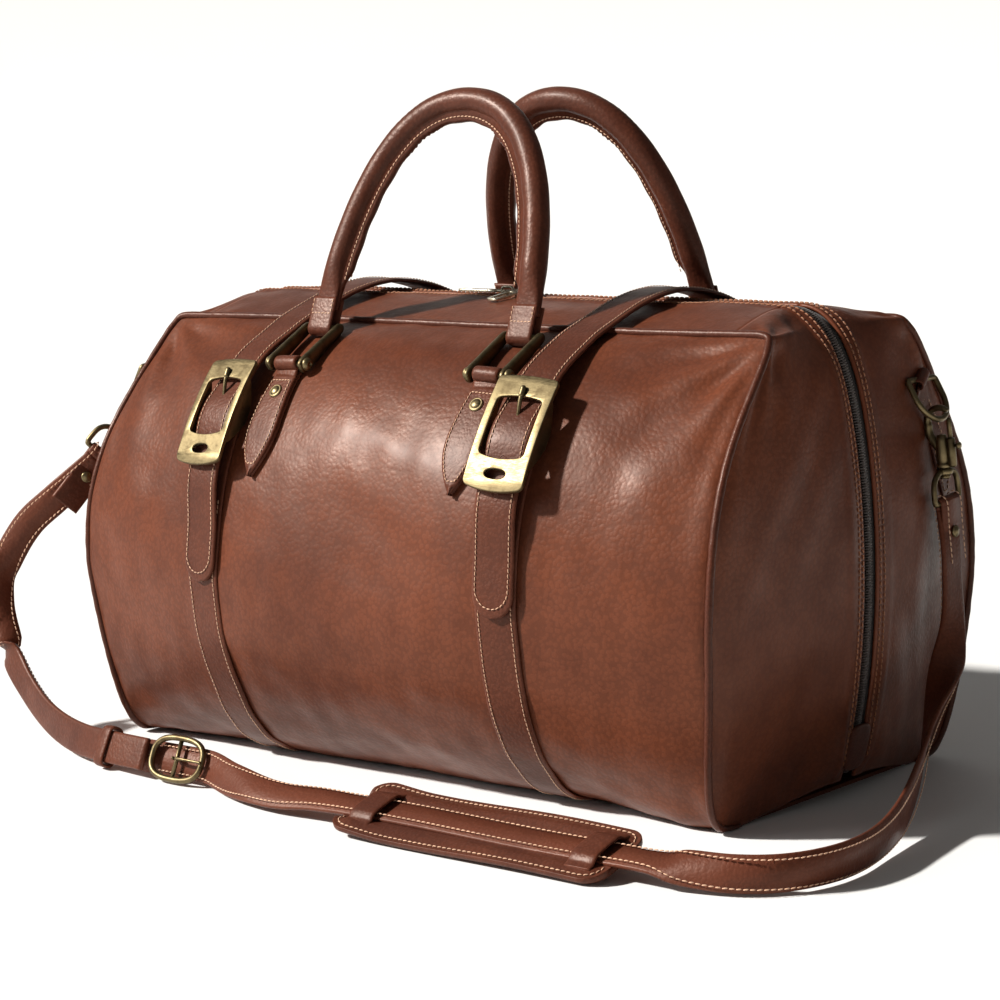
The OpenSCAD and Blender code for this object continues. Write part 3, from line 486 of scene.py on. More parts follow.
def clothMaterial(name, base, weave, roughness=0.85):
    m, nodes, links, shader = newMaterial(name)
    where = nodes.new("ShaderNodeTexCoord").outputs["Object"]
    fade = noiseNode(nodes, links, where, 30, 4)
    threads = nodes.new("ShaderNodeTexVoronoi")
    threads.inputs["Scale"].default_value = weave
    threads.inputs["Randomness"].default_value = 0.15
    links.new(where, threads.inputs["Vector"])
    colour = mixNode(nodes, links, rampNode(nodes, links, fade, 0.3, 0.7, 0, 1), base,
                     tuple(c * 0.65 for c in base))
    links.new(colour, shader.inputs["Base Color"])
    shader.inputs["Roughness"].default_value = roughness
    shader.inputs["Sheen Weight"].default_value = 0.25
    links.new(bumpNode(nodes, links, threads.outputs["Distance"], 0.6, 0.0004), shader.inputs["Normal"])
    return m


bodyHide = leatherMaterial("bodyHide", (0.135, 0.037, 0.0165), (0.084, 0.022, 0.0105), 330, 0.26, 0.44, 0.05)
strapHide = leatherMaterial("strapHide", (0.105, 0.03, 0.0155), (0.066, 0.018, 0.01), 420, 0.34, 0.46, 0.04)
handleHide = leatherMaterial("handleHide", (0.1, 0.029, 0.016), (0.064, 0.018, 0.01), 420, 0.3, 0.42, 0.06)
edgeHide = leatherMaterial("edgeHide", (0.085, 0.024, 0.013), (0.055, 0.015, 0.009), 520, 0.25, 0.42, 0.05)
antiqueBrass = brassMaterial("antiqueBrass", (0.17, 0.132, 0.07), (0.06, 0.041, 0.02), 0.42)
paleBrass = brassMaterial("paleBrass", (0.5, 0.46, 0.36), (0.2, 0.16, 0.1), 0.28)
orangeThread = threadMaterial("orangeThread", (0.34, 0.12, 0.04))
tanThread = threadMaterial("tanThread", (0.72, 0.42, 0.26))
coilPlastic = clothMaterial("coilPlastic", (0.035, 0.018, 0.012), 900, 0.45)
tapeCloth = clothMaterial("tapeCloth", (0.022, 0.012, 0.009), 1400)
liningCloth = clothMaterial("liningCloth", (0.25, 0.2, 0.13), 900)
coreCloth = clothMaterial("coreCloth", (0.5, 0.4, 0.26), 700)
boardFibre = clothMaterial("boardFibre", (0.2, 0.14, 0.09), 260)
print("stage: materials")


# ---- the bag's outer shape
def fullness(x):
    return np.maximum(0, np.cos(math.pi / 2 * np.minimum(1, np.abs(x) / halfLen))) ** 0.6


def wrap(w, t):
    half = mix(bag["endDepth"], bag["bellyDepth"], w) / 2
    tall = bag["seamHeight"]
    wideZ = mix(0.42, 0.45, w) * tall
    base, foot, top = bag["baseWidth"] / 2, bag["footDepth"] / 2, bag["topDepth"] / 2
    k1 = np.clip(2 * t, 0, 1)
    k2 = np.clip(2 * t - 1, 0, 1)
    yLow = bez(base, mix(foot - 2, base + 45, w), mix(foot + 3, half, w), half, k1)
    zLow = bez(bag["baseZ"], bag["baseZ"], mix(2, 0.2 * tall, w), wideZ, k1)
    shoulder = mix(0.82 * bag["endDepth"] / 2, 0.79 * bag["bellyDepth"] / 2, w)
    yHigh = bez(half, half, shoulder, top, k2)
    zHigh = bez(wideZ, 0.69 * tall, mix(0.79, 0.955, w) * tall, tall, k2)
    return np.where(t < 0.5, yLow, yHigh), np.where(t < 0.5, zLow, zHigh)


def bow(z):
    return bag["seamBow"] * np.sin(math.pi * np.clip(z / bag["seamHeight"], 0, 1))


def face(x, t):
    x, t = np.broadcast_arrays(np.asarray(x, float), np.asarray(t, float))
    y, z = wrap(fullness(x), t)
    return np.stack([x + np.sign(x) * (np.abs(x) / halfLen) ** 6 * bow(z), -y, z], -1)


def faceNormal(x, t):
    x, t = np.broadcast_arrays(np.asarray(x, float), np.asarray(t, float))
    dx = face(x + 2, t) - face(x - 2, t)
    dt = face(x, np.minimum(1, t + 0.01)) - face(x, np.maximum(0, t - 0.01))
    return unit(np.cross(dx, dt))


def findShare(height, low=0.05, high=1.0):
    # share at which a rising height passes zero
    for _ in range(24):
        middle = (low + high) / 2
        if height(middle) < 0:
            low = middle
        else:
            high = middle
    return (low + high) / 2


def shareAt(x, z):
    return findShare(lambda t: float(face(x, t)[2]) - z)


def shareDown(x, t, run):
    # share that lies a length run further down the wrap
    for _ in range(40):
        if run <= 0 or t <= 0.02:
            break
        run -= float(np.linalg.norm(face(x, t) - face(x, t - 0.01)))
        t -= 0.01
    return t


def zipEnd(s):
    s = np.asarray(s, float)
    bulge, tall = bag["endBulge"], bag["seamHeight"]
    x = bez(halfLen + 0.4 * bulge, halfLen + 1.4 * bulge, halfLen + 1.3 * bulge,
            halfLen - bag["cornerRun"], s)
    z = bez(12, 0.3 * tall, zipZ, zipZ, s)
    return np.stack([x, np.full_like(x, -bag["zipGap"] / 2), z], -1)


def seamEnd(s):
    s = np.asarray(s, float)
    y, z = wrap(np.zeros_like(s), np.minimum(1, s / seamShare))
    run = bag["cornerRun"] * (s - seamShare) / (1 - seamShare)
    side = np.stack([halfLen + bow(z), -y, z], -1)
    top = np.stack([halfLen - run, np.full_like(s, -bag["topDepth"] / 2),
                    np.full_like(s, bag["seamHeight"])], -1)
    return np.where((s < seamShare)[..., None], side, top)


def gusset(p, z, v):
    v = np.asarray(v, float)
    lifted = np.sin(v * math.pi / 2)
    return np.stack([mix(p[..., 0], z[..., 0], lifted), mix(p[..., 1], z[..., 1], v),
                     mix(p[..., 2], z[..., 2], lifted)], -1)


def endPoint(s, v):
    s, v = np.broadcast_arrays(np.asarray(s, float), np.asarray(v, float))
    return gusset(seamEnd(s), zipEnd(s), v)


def endNormal(s, v):
    ds = endPoint(np.minimum(1, s + 0.02), v) - endPoint(np.maximum(0, s - 0.02), v)
    dv = endPoint(s, np.maximum(0, v - 0.02)) - endPoint(s, np.minimum(1, v + 0.02))
    return unit(np.cross(ds, dv))


# fixed places of the hardware, shared with the CAD frame
strapX, strapW, strapT = 125, 30, 2.4
buckle = {"z": 236, "length": 76, "width": 44, "bar": 3, "barOff": 4.2, "plateOff": 11.6}
handle = {"x": 86, "rise": 160, "d": 18, "lean": 20, "flat": 14, "shackle": 40, "pin": 5,
          "gap": 24, "slope": 31}
buckleT = shareAt(strapX, buckle["z"])
pinT = shareAt(handle["x"], 0.9 * bag["seamHeight"])
pinOff = handle["pin"] / 2 + 0.3 + bag["hide"] + 2.6


def pinPlace():
    n = faceNormal(handle["x"], pinT)
    up = unit(np.array([0, n[1], n[2]]))
    p = face(handle["x"], pinT)
    return np.array([0, p[1], p[2]]) + up * pinOff


pinAt = pinPlace()
slope = math.radians(handle["slope"])
barAt = pinAt + handle["shackle"] * np.array([0, math.cos(slope), math.sin(slope)])


def calm(x, t):
    # 1 on open leather, 0 where hardware holds the hide still
    quiet = 1.0
    for cx, ct, wide in ((strapX, buckleT, 44), (handle["x"], pinT, 30)):
        d2 = (np.abs(x) - cx) ** 2 + ((t - ct) * 330) ** 2
        quiet = quiet * (1 - np.exp(-d2 / (2 * wide ** 2)))
    return quiet


def folds(x, t, back):
    # height of the soft folds above the plain shape, zero along the seams
    seed = 41 if back else 7
    v = t * 400
    away = halfLen - np.abs(x)
    rim = smoothStep(0, 26, away) * smoothStep(0, 0.06, t) * smoothStep(0, 0.07, 1 - t)
    broad = 1.7 * ripple(x, v, seed, 210) + 0.7 * ripple(x, v, seed + 1, 90)
    small = 0.28 * ripple(x, v, seed + 2, 34)
    # pulls that fan out from the top corners
    r = np.hypot(away, (1 - t) * 330)
    angle = np.arctan2((1 - t) * 330, away + 1)
    fan = np.sin(angle * 11 + 0.8) * np.exp(-r / 95) * smoothStep(6, 40, r) * 3.2
    # creases where the bottom corners sit down
    low = np.hypot(away * 0.8, t * 330)
    sit = np.sin(low / 15 + angle * 3 + seed) * np.exp(-((low - 70) / 42) ** 2) * 1.5
    # little puckers beside the piping
    pucker = np.sin(v / 7.5 + np.sin(v / 31)) * np.exp(-away / 11) * smoothStep(0, 4, away) * 0.5
    topPucker = np.sin(x / 7 + np.sin(x / 23)) * np.exp(-(1 - t) * 330 / 11) * 0.35
    out = (broad + small) * rim + (fan + sit) * smoothStep(0, 14, away) * smoothStep(0, 0.05, t)
    out = out * calm(x, t)
    # the closure straps press into the hide
    press = np.exp(-((np.abs(x) - strapX) / 26) ** 2) * smoothStep(0.1, 0.3, t) * 0.8
    return out * smoothStep(0, 0.04, 1 - t) + pucker + topPucker - press * calm(x, t)


def give(p):
    # slow drift of the whole soft body away from the even shape
    p = np.asarray(p, float).copy()
    x, y, z = p[..., 0].copy(), p[..., 1].copy(), p[..., 2].copy()
    for centre, size, shift in gives:
        d2 = (((np.stack([x, y, z], -1) - centre) / size) ** 2).sum(-1)
        p = p + np.exp(-d2)[..., None] * np.array(shift, float)
    return p


gives = (((262, -80, 300), (70, 60, 60), (9, 0, 2)),
         ((-262, -92, 300), (70, 80, 80), (0, 0, -2)),
         ((-262, -150, 150), (60, 120, 90), (-6, 0, 0)))


def hideAt(x, t, off=0.0, back=False):
    # point on the real hide, off above it
    p = face(x, t) + faceNormal(x, t) * (np.asarray(folds(np.asarray(x, float), np.asarray(t, float), back))
                                         + off)[..., None]
    p = give(p)
    return p * (1, -1, 1) if back else p


def endFolds(s, v, seed):
    # waves that hang down the end panels, zero at the seam and the zip
    along = s * 330
    across = v * 150
    rim = smoothStep(0, 0.12, v) * smoothStep(0, 0.12,
                                              1 - v) * smoothStep(0, 0.06, s) * smoothStep(0, 0.1, 1 - s)
    hang = 2.4 * np.sin(across / 24 + 0.9 * np.sin(along / 80 + seed) + seed) * smoothStep(0.9, 0.4, s)
    broad = 1.6 * ripple(along, across, seed + 11, 150) + 0.35 * ripple(along, across, seed + 12, 45)
    r = np.hypot((s - seamShare) * 330, across)
    angle = np.arctan2(across, (seamShare - s) * 330 + 1)
    fan = np.sin(angle * 9 + 1.3) * np.exp(-r / 90) * smoothStep(5, 40, r) * 2.4
    hold = 1 - np.exp(-(((s - 0.72) * 330 / 45) ** 2 + ((v - 0.32) * 150 / 22) ** 2))
    seamPucker = np.sin(along / 7) * np.exp(-across / 9) * smoothStep(0, 4, across) * 0.4
    return (hang * 0.6 + broad + fan) * rim * hold + seamPucker


def endHide(s, v, off=0.0, flipX=False, flipY=False):
    s, v = np.broadcast_arrays(np.asarray(s, float), np.asarray(v, float))
    seed = 1 + 2 * flipX + 3 * flipY
    hem = 0.8 * smoothStep(0.86, 0.9, v)
    p = endPoint(s, v) + endNormal(s, v) * (endFolds(s, v, seed) + hem + off)[..., None]
    p = p * ((-1 if flipX else 1), 1, 1)
    p = give(p)
    return p * (1, -1, 1) if flipY else p


def topHide(x, v, off=0.0, back=False):
    x, v = np.broadcast_arrays(np.asarray(x, float), np.asarray(v, float))
    seam = np.stack([x, np.full_like(x, -bag["topDepth"] / 2), np.full_like(x, bag["seamHeight"])], -1)
    zipLine = np.stack([x, np.full_like(x, -bag["zipGap"] / 2), np.full_like(x, zipZ)], -1)
    p = gusset(seam, zipLine, v)
    ends = smoothStep(0, 22, halfLen - bag["cornerRun"] - np.abs(x))
    rim = smoothStep(0, 0.15, v) * smoothStep(0, 0.2, 1 - v) * ends
    wave = (1.1 * ripple(x, v * 70, 23 + back, 120) + 0.35 * ripple(x, v * 70, 25 + back, 40)) * rim
    hem = 0.8 * smoothStep(0.82, 0.87, v) + np.sin(x / 6.5) * 0.25 * smoothStep(0.6, 1, v)
    normal = np.stack([np.zeros_like(x), -0.2 * np.ones_like(x), np.ones_like(x)], -1)
    p = give(p + unit(normal) * (wave + hem + off)[..., None])
    return p * (1, -1, 1) if back else p


def twoSided(points, flip):
    return points[:, ::-1] if flip else points


def makeBody():
    fine = 1
    x = np.concatenate([np.linspace(-halfLen, -halfLen + 24, 14 // fine)[:-1],
                        np.linspace(-halfLen + 24, halfLen - 24, 190 // fine),
                        np.linspace(halfLen - 24, halfLen, 14 // fine)[1:]])
    t = np.linspace(0, 1, 150 // fine)
    for back, name in ((False, "front"), (True, "back")):
        sheet = hideAt(x[:, None], t[None, :], 0.0, back)
        obj = build(name + "Hide", shell(twoSided(sheet, back), bag["hide"]), bodyHide,
                    replaces=[name + "_panel"])
        v = np.linspace(0, 1, 40 // fine)
        run = np.linspace(-halfLen + bag["cornerRun"], halfLen - bag["cornerRun"], 160 // fine)
        strip = topHide(run[:, None], v[None, :], 0.0, back)
        build(name + "TopStrip", shell(twoSided(strip, back), bag["hide"]), bodyHide,
              replaces=["top_strip_" + name])
        for flipX, side in ((False, "right"), (True, "left")):
            s = np.linspace(0, 1, 110 // fine)
            across = np.linspace(1, 0, 64 // fine)
            end = endHide(s[:, None], across[None, :], 0.0, flipX, back)
            obj = build(side + "End" + name.capitalize(),
                        shell(twoSided(end, flipX != back), bag["hide"]), bodyHide,
                        replaces=[side + "_end_" + name])


makeBody()
print("stage: body hides")


# ---- stitches
def stitchUnit(length, thick):
    # one thread stitch lying along x, plump in the middle and dipping at its ends
    rings = []
    for x, r, drop in ((-0.5, 0.25, -0.6), (-0.4, 0.75, -0.15), (-0.15, 1, 0.12), (0.15, 1, 0.12),
                       (0.4, 0.75, -0.15), (0.5, 0.25, -0.6)):
        rings.append([(x * length, math.cos(a) * thick * r, math.sin(a) * thick * r + drop * thick)
                      for a in np.arange(6) * math.pi / 3])
    return loft(rings)


def stitchRow(path, normals, pitch=3.6, thick=0.42, share=0.8, sink=0.1, slant=0.12):
    path, (normals,) = resample(np.asarray(path, float), [np.asarray(normals, float)], pitch)
    points, faces = stitchUnit(pitch * share, thick)
    middle = (path[1:] + path[:-1]) / 2
    along = unit(path[1:] - path[:-1])
    up = unit(normals[1:] + normals[:-1])
    up = unit(up - along * (up * along).sum(-1, keepdims=True))
    side = np.cross(up, along)
    wobble = np.sin(np.arange(len(middle)) * 2.4)[:, None] * 0.06
    along = unit(along + side * (slant + wobble))
    side = np.cross(up, along)
    placed = (middle + up * (thick * (1 - sink)))[:, None, :]
    placed = placed + along[:, None, :] * points[None, :, 0:1] + side[:, None, :] * points[None, :, 1:2]
    placed = placed + up[:, None, :] * points[None, :, 2:3]
    step = len(points)
    every = []
    for k in range(len(middle)):
        every += [[i + k * step for i in f] for f in faces]
    return placed.reshape(-1, 3), every


# ---- piping and bodies' stitched seams
def makePiping():
    for back, name in ((False, "front"), (True, "back")):
        halves = []
        for flipX in (False, True):
            s = np.linspace(0.03, 0.835, 90)
            climb = seamEnd(s) + np.array([0.4, -0.6, 0])
            corner = np.array([[halfLen - 1.5, -77.5, 297.6], [halfLen - 8, -77.4, 298.9]])
            run = np.linspace(halfLen - 16, 0, 70)
            top = np.stack([run, np.full_like(run, -77), np.full_like(run, 298.8)], 1)
            line = np.vstack([climb, corner, top]) * ((-1 if flipX else 1), 1, 1)
            halves.append(line)
        path = np.vstack([halves[0], halves[1][::-1][1:]])
        path, _ = resample(path, [], 2.2)
        for _ in range(2):
            path[1:-1] = (path[:-2] + 2 * path[1:-1] + path[2:]) / 4
        path = give(path) * (1, (-1 if back else 1), 1)
        run = lengths(path)
        radius = 2.5 + 0.1 * np.sin(run / 3.1) * np.sin(run / 17) + 0.07 * np.sin(run / 1.9)
        build(name + "Piping", tube(path, radius, 12), edgeHide,
              replaces=["piping_" + name])


def zipRows(back):
    # the two rows of stitches beside the zip, right round the bag
    rows = []
    for inset in (2.6, 7.4):
        lines, ups = [], []
        for flipX in (False, True):
            s = np.linspace(0.05, 0.985, 170)
            depth = -seamEnd(s)[:, 1] - bag["zipGap"] / 2
            v = 1 - inset / depth
            p = endHide(s, v, 0.02, flipX, back)
            n = endNormal(s, v) * ((-1 if flipX else 1), (-1 if back else 1), 1)
            lines.append(p)
            ups.append(n)
        x = np.linspace(halfLen - bag["cornerRun"] - 3, -(halfLen - bag["cornerRun"] - 3), 200)
        v = np.full_like(x, 1 - inset / (bag["topDepth"] / 2 - bag["zipGap"] / 2))
        top = topHide(x, v, 0.02, back)
        up = np.tile(np.array([0, -0.1 * (-1 if back else 1), 1.0]), (len(x), 1))
        path = np.vstack([lines[0], top, lines[1][::-1]])
        normal = np.vstack([ups[0], up, ups[1][::-1]])
        rows.append(stitchRow(path, normal, 3.9, 0.46))
    return joined(rows)


def makeZip():
    s = np.linspace(0.02, 1, 120)
    end = zipEnd(s) * (1, 0, 1)
    x = np.linspace(halfLen - bag["cornerRun"] - 4, 0, 60)
    half = np.vstack([end, np.stack([x, np.zeros_like(x), np.full_like(x, zipZ)], 1)])
    path = np.vstack([half, (half * (-1, 1, 1))[::-1][1:]])
    path, _ = resample(path, [], 1.0)
    path = give(path)
    t = tangents(path)
    up = unit(np.cross((0, 1, 0), t))
    tapes = []
    for side in (-1, 1):
        middle = path + np.array([0, side * 8.0, 0])
        flat = ribbon(middle[::4], up[::4], 4.8, 0.9, -3.5, 0.05)
        tapes.append(flat)
    build("zipTape", joined(tapes), tapeCloth, replaces=["zip_tape"])
    pitch = 1.75
    marks, (ups,) = resample(path, [up], pitch)
    along = tangents(marks)
    side = np.cross(ups, along)
    loopShape = [(-3.5, -0.7), (-3.1, 0.35), (-1.2, 0.75), (0.7, 0.72), (1.35, 0.05)]
    a = np.arange(5) * 2 * math.pi / 5
    points, faces = [], []
    for hand in (-1, 1):
        centre = marks + along * (0.25 * pitch * hand) - ups * 1.35
        rings = []
        for k, (across, rise) in enumerate(loopShape):
            ahead = loopShape[min(k + 1, 4)]
            behind = loopShape[max(k - 1, 0)]
            d = unit(np.array([ahead[0] - behind[0], ahead[1] - behind[1]]))
            c = centre + side * (across * hand) + ups * rise
            across2 = side * (-d[1] * hand) + ups * d[0]
            size = (0.62, 0.66, 0.66, 0.68, 0.45)[k]
            rings.append(c[:, None, :] + (along[:, None, :] * np.cos(a)[None, :, None]
                                          + across2[:, None, :] * np.sin(a)[None, :, None]) * size)
        stack = np.stack(rings, 1)
        n = len(marks)
        base = len(points) and sum(len(p) for p in points)
        points.append(stack.reshape(-1, 3))
        for q in range(n):
            start = base + q * 25
            for k in range(4):
                for j in range(5):
                    b = (j + 1) % 5
                    faces.append([start + k * 5 + j, start + k * 5 + b, start + k * 5 + 5 + b,
                                  start + k * 5 + 5 + j])
            faces.append([start + j for j in range(5)][::-1])
            faces.append([start + 20 + j for j in range(5)])
    build("zipCoil", (np.vstack(points), faces), coilPlastic, replaces=["zip_coil"])
    for back, name in ((False, "Front"), (True, "Back")):
        build("zipStitches" + name, zipRows(back), orangeThread)
    # leather ends at the foot of the zip
    tabs = []
    for flipX in (1, -1):
        s = np.linspace(0.03, 0.13, 24)
        line = zipEnd(s) * (flipX, 0, 1)
        line = give(line)
        normal = unit(np.cross((0, flipX, 0), tangents(line)))
        k = np.linspace(0, 1, 24)
        width = 12 * np.sqrt(np.clip(1 - ((k - 0.5) / 0.52) ** 6, 0.05, 1))
        tabs.append(ribbon(line, normal, width, 1.7, 0.9, 0.5))
    build("zipEndTabs", joined(tabs), edgeHide, replaces=["zip_end_tabs"])


makePiping()
makeZip()
print("stage: piping and zip")


# ---- closure straps
def onFace(side):
    # matrix of a closure buckle: z outwards, y up the wrap
    n = faceNormal(side * strapX, buckleT)
    turn = math.atan2(n[0], math.hypot(n[1], n[2]))
    tip = math.atan2(-n[1], n[2])
    place = Matrix.Translation(Vector(face(side * strapX, buckleT)))
    return place @ Matrix.Rotation(tip, 4, "X") @ Matrix.Rotation(turn, 4, "Y")


overLoop = buckle["barOff"] + buckle["bar"] / 2 + 0.3 + strapT + 0.3
strapLift = 4.2


def strapLine(side):
    x = side * strapX
    tip = shareDown(strapX, buckleT, buckle["length"] / 2 + 70)
    ts = np.linspace(tip, 0.985, 90)
    xs = np.full_like(ts, x)
    plain = face(xs, ts)
    run = np.linalg.norm(plain - face(x, buckleT), axis=1)
    lift = mix(overLoop, strapLift, smoothStep(0, 1, np.clip((run - 38) / 40, 0, 1)))
    below = ts < buckleT
    lift = np.where(below, mix(overLoop, 3.0, smoothStep(0, 1, np.clip((run - 38) / 40, 0, 1))), lift)
    # the strap swells up through the buckle's window
    signed = np.where(below, -run, run)
    lift = lift + 3.6 * np.exp(-((signed + 1) / 15.0) ** 4)
    front = face(xs, ts) + faceNormal(xs, ts) * (folds(xs, ts, False) * 0.7 + lift)[:, None]
    over = np.array([[x, -64, zipZ - 5.5], [x, -44, zipZ + 1.2], [x, -22, zipZ + 5.6], [x, 0, zipZ + 7.5],
                     [x, 22, zipZ + 5.6], [x, 44, zipZ + 1.2], [x, 64, zipZ - 5.5]])
    tb = np.linspace(0.985, 0.06, 80)
    xb = np.full_like(tb, x)
    rear = face(xb, tb) + faceNormal(xb, tb) * (folds(xb, tb, True) * 0.8
                                                + mix(0.4, strapLift,
                                                      np.clip((tb - 0.6) / 0.4, 0, 1)))[:, None]
    rear = rear * (1, -1, 1)
    nf = faceNormal(xs, ts)
    nb = faceNormal(xb, tb) * (1, -1, 1)
    no = unit(np.stack([np.zeros(7), over[:, 1] * 0.006, np.ones(7)], 1))
    path = np.vstack([front, over, rear])
    normals = np.vstack([nf, no, nb])
    path, (normals,) = resample(path, [normals], 3)
    for _ in range(6):
        path[1:-1] = (path[:-2] + 2 * path[1:-1] + path[2:]) / 4
        normals[1:-1] = (normals[:-2] + 2 * normals[1:-1] + normals[2:]) / 4
    return path, unit(normals)


def edgeRows(path, normals, half, inset, above, pitch=3.4, thick=0.4, skip=None):
    t = tangents(path)
    side = unit(np.cross(normals, t))
    up = np.cross(t, side)
    rows = []
    half = np.broadcast_to(np.asarray(half, float), (len(path),))
    keep = np.ones(len(path), bool) if skip is None else ~skip
    for hand in (-1, 1):
        line = path + side * ((half - inset) * hand)[:, None] + up * above
        rows.append(stitchRow(line[keep], up[keep], pitch, thick))
    return joined(rows)


def makeClosureStraps():
    for side, name in ((-1, "left"), (1, "right")):
        path, normals = strapLine(side)
        run = lengths(path)
        half = np.full(len(path), strapW / 2.0)
        # the strap's tip is a rounded half disc, so its first rings crowd together
        tipRadius = strapW / 2
        near = run < tipRadius
        half[near] = np.sqrt(np.maximum(tipRadius ** 2 - (tipRadius - run[near]) ** 2, 6))
        tipSteps = np.array([0.3, 1.2, 2.6, 4.5, 7, 10])
        first = run >= 13
        heads = [np.array([np.interp(d, run, path[:, i]) for i in range(3)]) for d in tipSteps]
        headNormals = [np.array([np.interp(d, run, normals[:, i]) for i in range(3)]) for d in tipSteps]
        headHalf = np.sqrt(np.maximum(tipRadius ** 2 - (tipRadius - tipSteps) ** 2, 2))
        line = np.vstack([heads, path[first]])
        ups = np.vstack([headNormals, normals[first]])
        wide = np.concatenate([headHalf, half[first]])
        build(name + "UpperStrap", ribbon(line, ups, wide, strapT), strapHide,
              replaces=["upper_strap_" + name])
        # edge stitching that turns round the tip
        t = tangents(path)
        across = unit(np.cross(normals, t))
        up = np.cross(t, across)
        startAt = int(np.argmax(run > 15))
        rowsUp = up * (strapT + 0.28)
        inset = 3
        left = (path - across * (strapW / 2 - inset) + rowsUp)[startAt:]
        right = (path + across * (strapW / 2 - inset) + rowsUp)[startAt:]
        centre = path[startAt] + rowsUp[startAt]
        arc = [centre + (across[startAt] * math.cos(a) - t[startAt] * math.sin(a)) * (strapW / 2 - inset)
               for a in np.linspace(0, math.pi, 16)]
        whole = np.vstack([right[::-1], np.array(arc)[1:-1], left])
        wholeUp = np.vstack([up[startAt:][::-1], np.tile(up[startAt], (14, 1)), up[startAt:]])
        build(name + "UpperStitches", stitchRow(whole, wholeUp, 3.3, 0.36), tanThread)
        # punched holes with a pressed rim
        holes = []
        for reach in (-1, -2, 1):
            at = buckle["length"] / 2 + 70 + 16 + reach * 24
            k = int(np.argmin(abs(run - at)))
            m = Matrix.Identity(4)
            for c, axis in enumerate((across[k], t[k], up[k])):
                for r in range(3):
                    m[r][c] = axis[r]
                    m[r][3] = path[k][r]
            dish = lathe([(0.01, strapT - 0.6), (1.7, strapT - 0.5), (1.9, strapT + 0.32),
                          (2.4, strapT + 0.36),
                          (2.9, strapT + 0.2), (2.9, strapT - 0.8)], 20)
            holes.append(moved(dish, m))
        build(name + "StrapHoles", joined(holes), edgeHide)
        # the lower strap, folded round the buckle's bar
        ts = np.linspace(0.012, buckleT, 90)
        xs = np.full_like(ts, side * strapX)
        low = face(xs, ts) + faceNormal(xs, ts) * (folds(xs, ts, False) + 0.3)[:, None]
        ups = faceNormal(xs, ts)
        lowHalf = np.full(90, strapW / 2.0)
        band = ribbon(low, ups, lowHalf, 1.9)
        place = onFace(side)
        r = buckle["bar"] / 2 + 0.3 + strapT / 2
        bend = [(0, r * math.cos(a), buckle["barOff"] + r * math.sin(a)) for a in np.linspace(-2.4, 2.3, 22)]
        bend = [(0, -18, 3.6), (0, -9, 3.7)][:0] + bend
        arcPath = np.array([place @ Vector(p) for p in bend])
        centre = np.array(place @ Vector((0, 0, buckle["barOff"])))
        arcUp = unit(arcPath - centre)
        curl = ribbon(arcPath, arcUp, strapW / 2, 1.9, -0.95)
        build(name + "LowerStrap", joined([band, curl]), strapHide, replaces=["lower_strap_" + name])
        keep = slice(2, 74)
        build(name + "LowerStitches", edgeRows(low[keep], ups[keep], 15, 3, 2.1, 3.3, 0.34), tanThread)


makeClosureStraps()
print("stage: closure straps")


# ---- flat metal plates cut from an outline
def plate(loops, thick, soft, rows=0):
    # outer outline first, then the holes; it lies flat with its middle at z = 0
    data = bpy.data.curves.new("outline", "CURVE")
    data.dimensions = "2D"
    data.fill_mode = "BOTH"
    data.extrude = thick / 2 - soft
    data.bevel_depth = soft
    data.bevel_resolution = 2
    data.offset = -soft
    for loop in loops:
        line = data.splines.new("POLY")
        line.points.add(len(loop) - 1)
        for k, p in enumerate(loop):
            line.points[k].co = (p[0], p[1], 0, 1)
        line.use_cyclic_u = True
    obj = bpy.data.objects.new("outline", data)
    scene.collection.objects.link(obj)
    bpy.context.view_layer.update()
    mesh = bpy.data.meshes.new_from_object(obj.evaluated_get(bpy.context.evaluated_depsgraph_get()))
    work = bmesh.new()
    work.from_mesh(mesh)
    bmesh.ops.remove_doubles(work, verts=work.verts, dist=1e-4)
    if rows:
        lo = min(v.co.y for v in work.verts)
        hi = max(v.co.y for v in work.verts)
        for y in np.linspace(lo, hi, rows + 2)[1:-1]:
            bmesh.ops.bisect_plane(work, geom=work.verts[:] + work.edges[:] + work.faces[:],
                                   plane_co=(0, float(y), 0), plane_no=(0, 1, 0))
    work.verts.index_update()
    points = np.array([v.co[:] for v in work.verts])
    faces = [[v.index for v in f.verts] for f in work.faces]
    work.free()
    bpy.data.objects.remove(obj)
    bpy.data.meshes.remove(mesh)
    return points, faces


def mirrored(part, flip, turned):
    return part[0] * flip, [f[::-1] for f in part[1]] if turned else part[1]


def roundedLoop(w, h, r, n=8, topRise=0.0, lowDrop=0.0):
    out = []
    for cx, cy, start in ((w / 2 - r, h / 2 - r, 0), (-w / 2 + r, h / 2 - r, 90),
                          (-w / 2 + r, -h / 2 + r, 180), (w / 2 - r, -h / 2 + r, 270)):
        for a in np.radians(np.linspace(start, start + 90, n)):
            out.append([cx + r * math.cos(a), cy + r * math.sin(a)])
        if start in (0, 180):
            for k in np.linspace(0, 1, 12)[1:-1]:
                out.append([mix(cx, -cx, k), math.copysign(h / 2, cy)])
    out = np.array(out)
    bulge = 1 - (out[:, 0] / (w / 2)) ** 2
    out[:, 1] += np.where(out[:, 1] > 0, topRise, -lowDrop) * bulge
    return out.tolist()


def ovalLoop(w, h, cx, cy, n=28):
    return [[cx + w / 2 * math.copysign(abs(math.cos(a)) ** 0.75, math.cos(a)), cy + h / 2 * math.sin(a)]
            for a in np.arange(n) * 2 * math.pi / n]


def shifted(loop, dx, dy):
    return [[x + dx, y + dy] for x, y in loop]


def blockPart(w, h, d, soft=0.5):
    return plate([roundedLoop(w, h, min(w, h) * 0.2, 4)], d, soft)


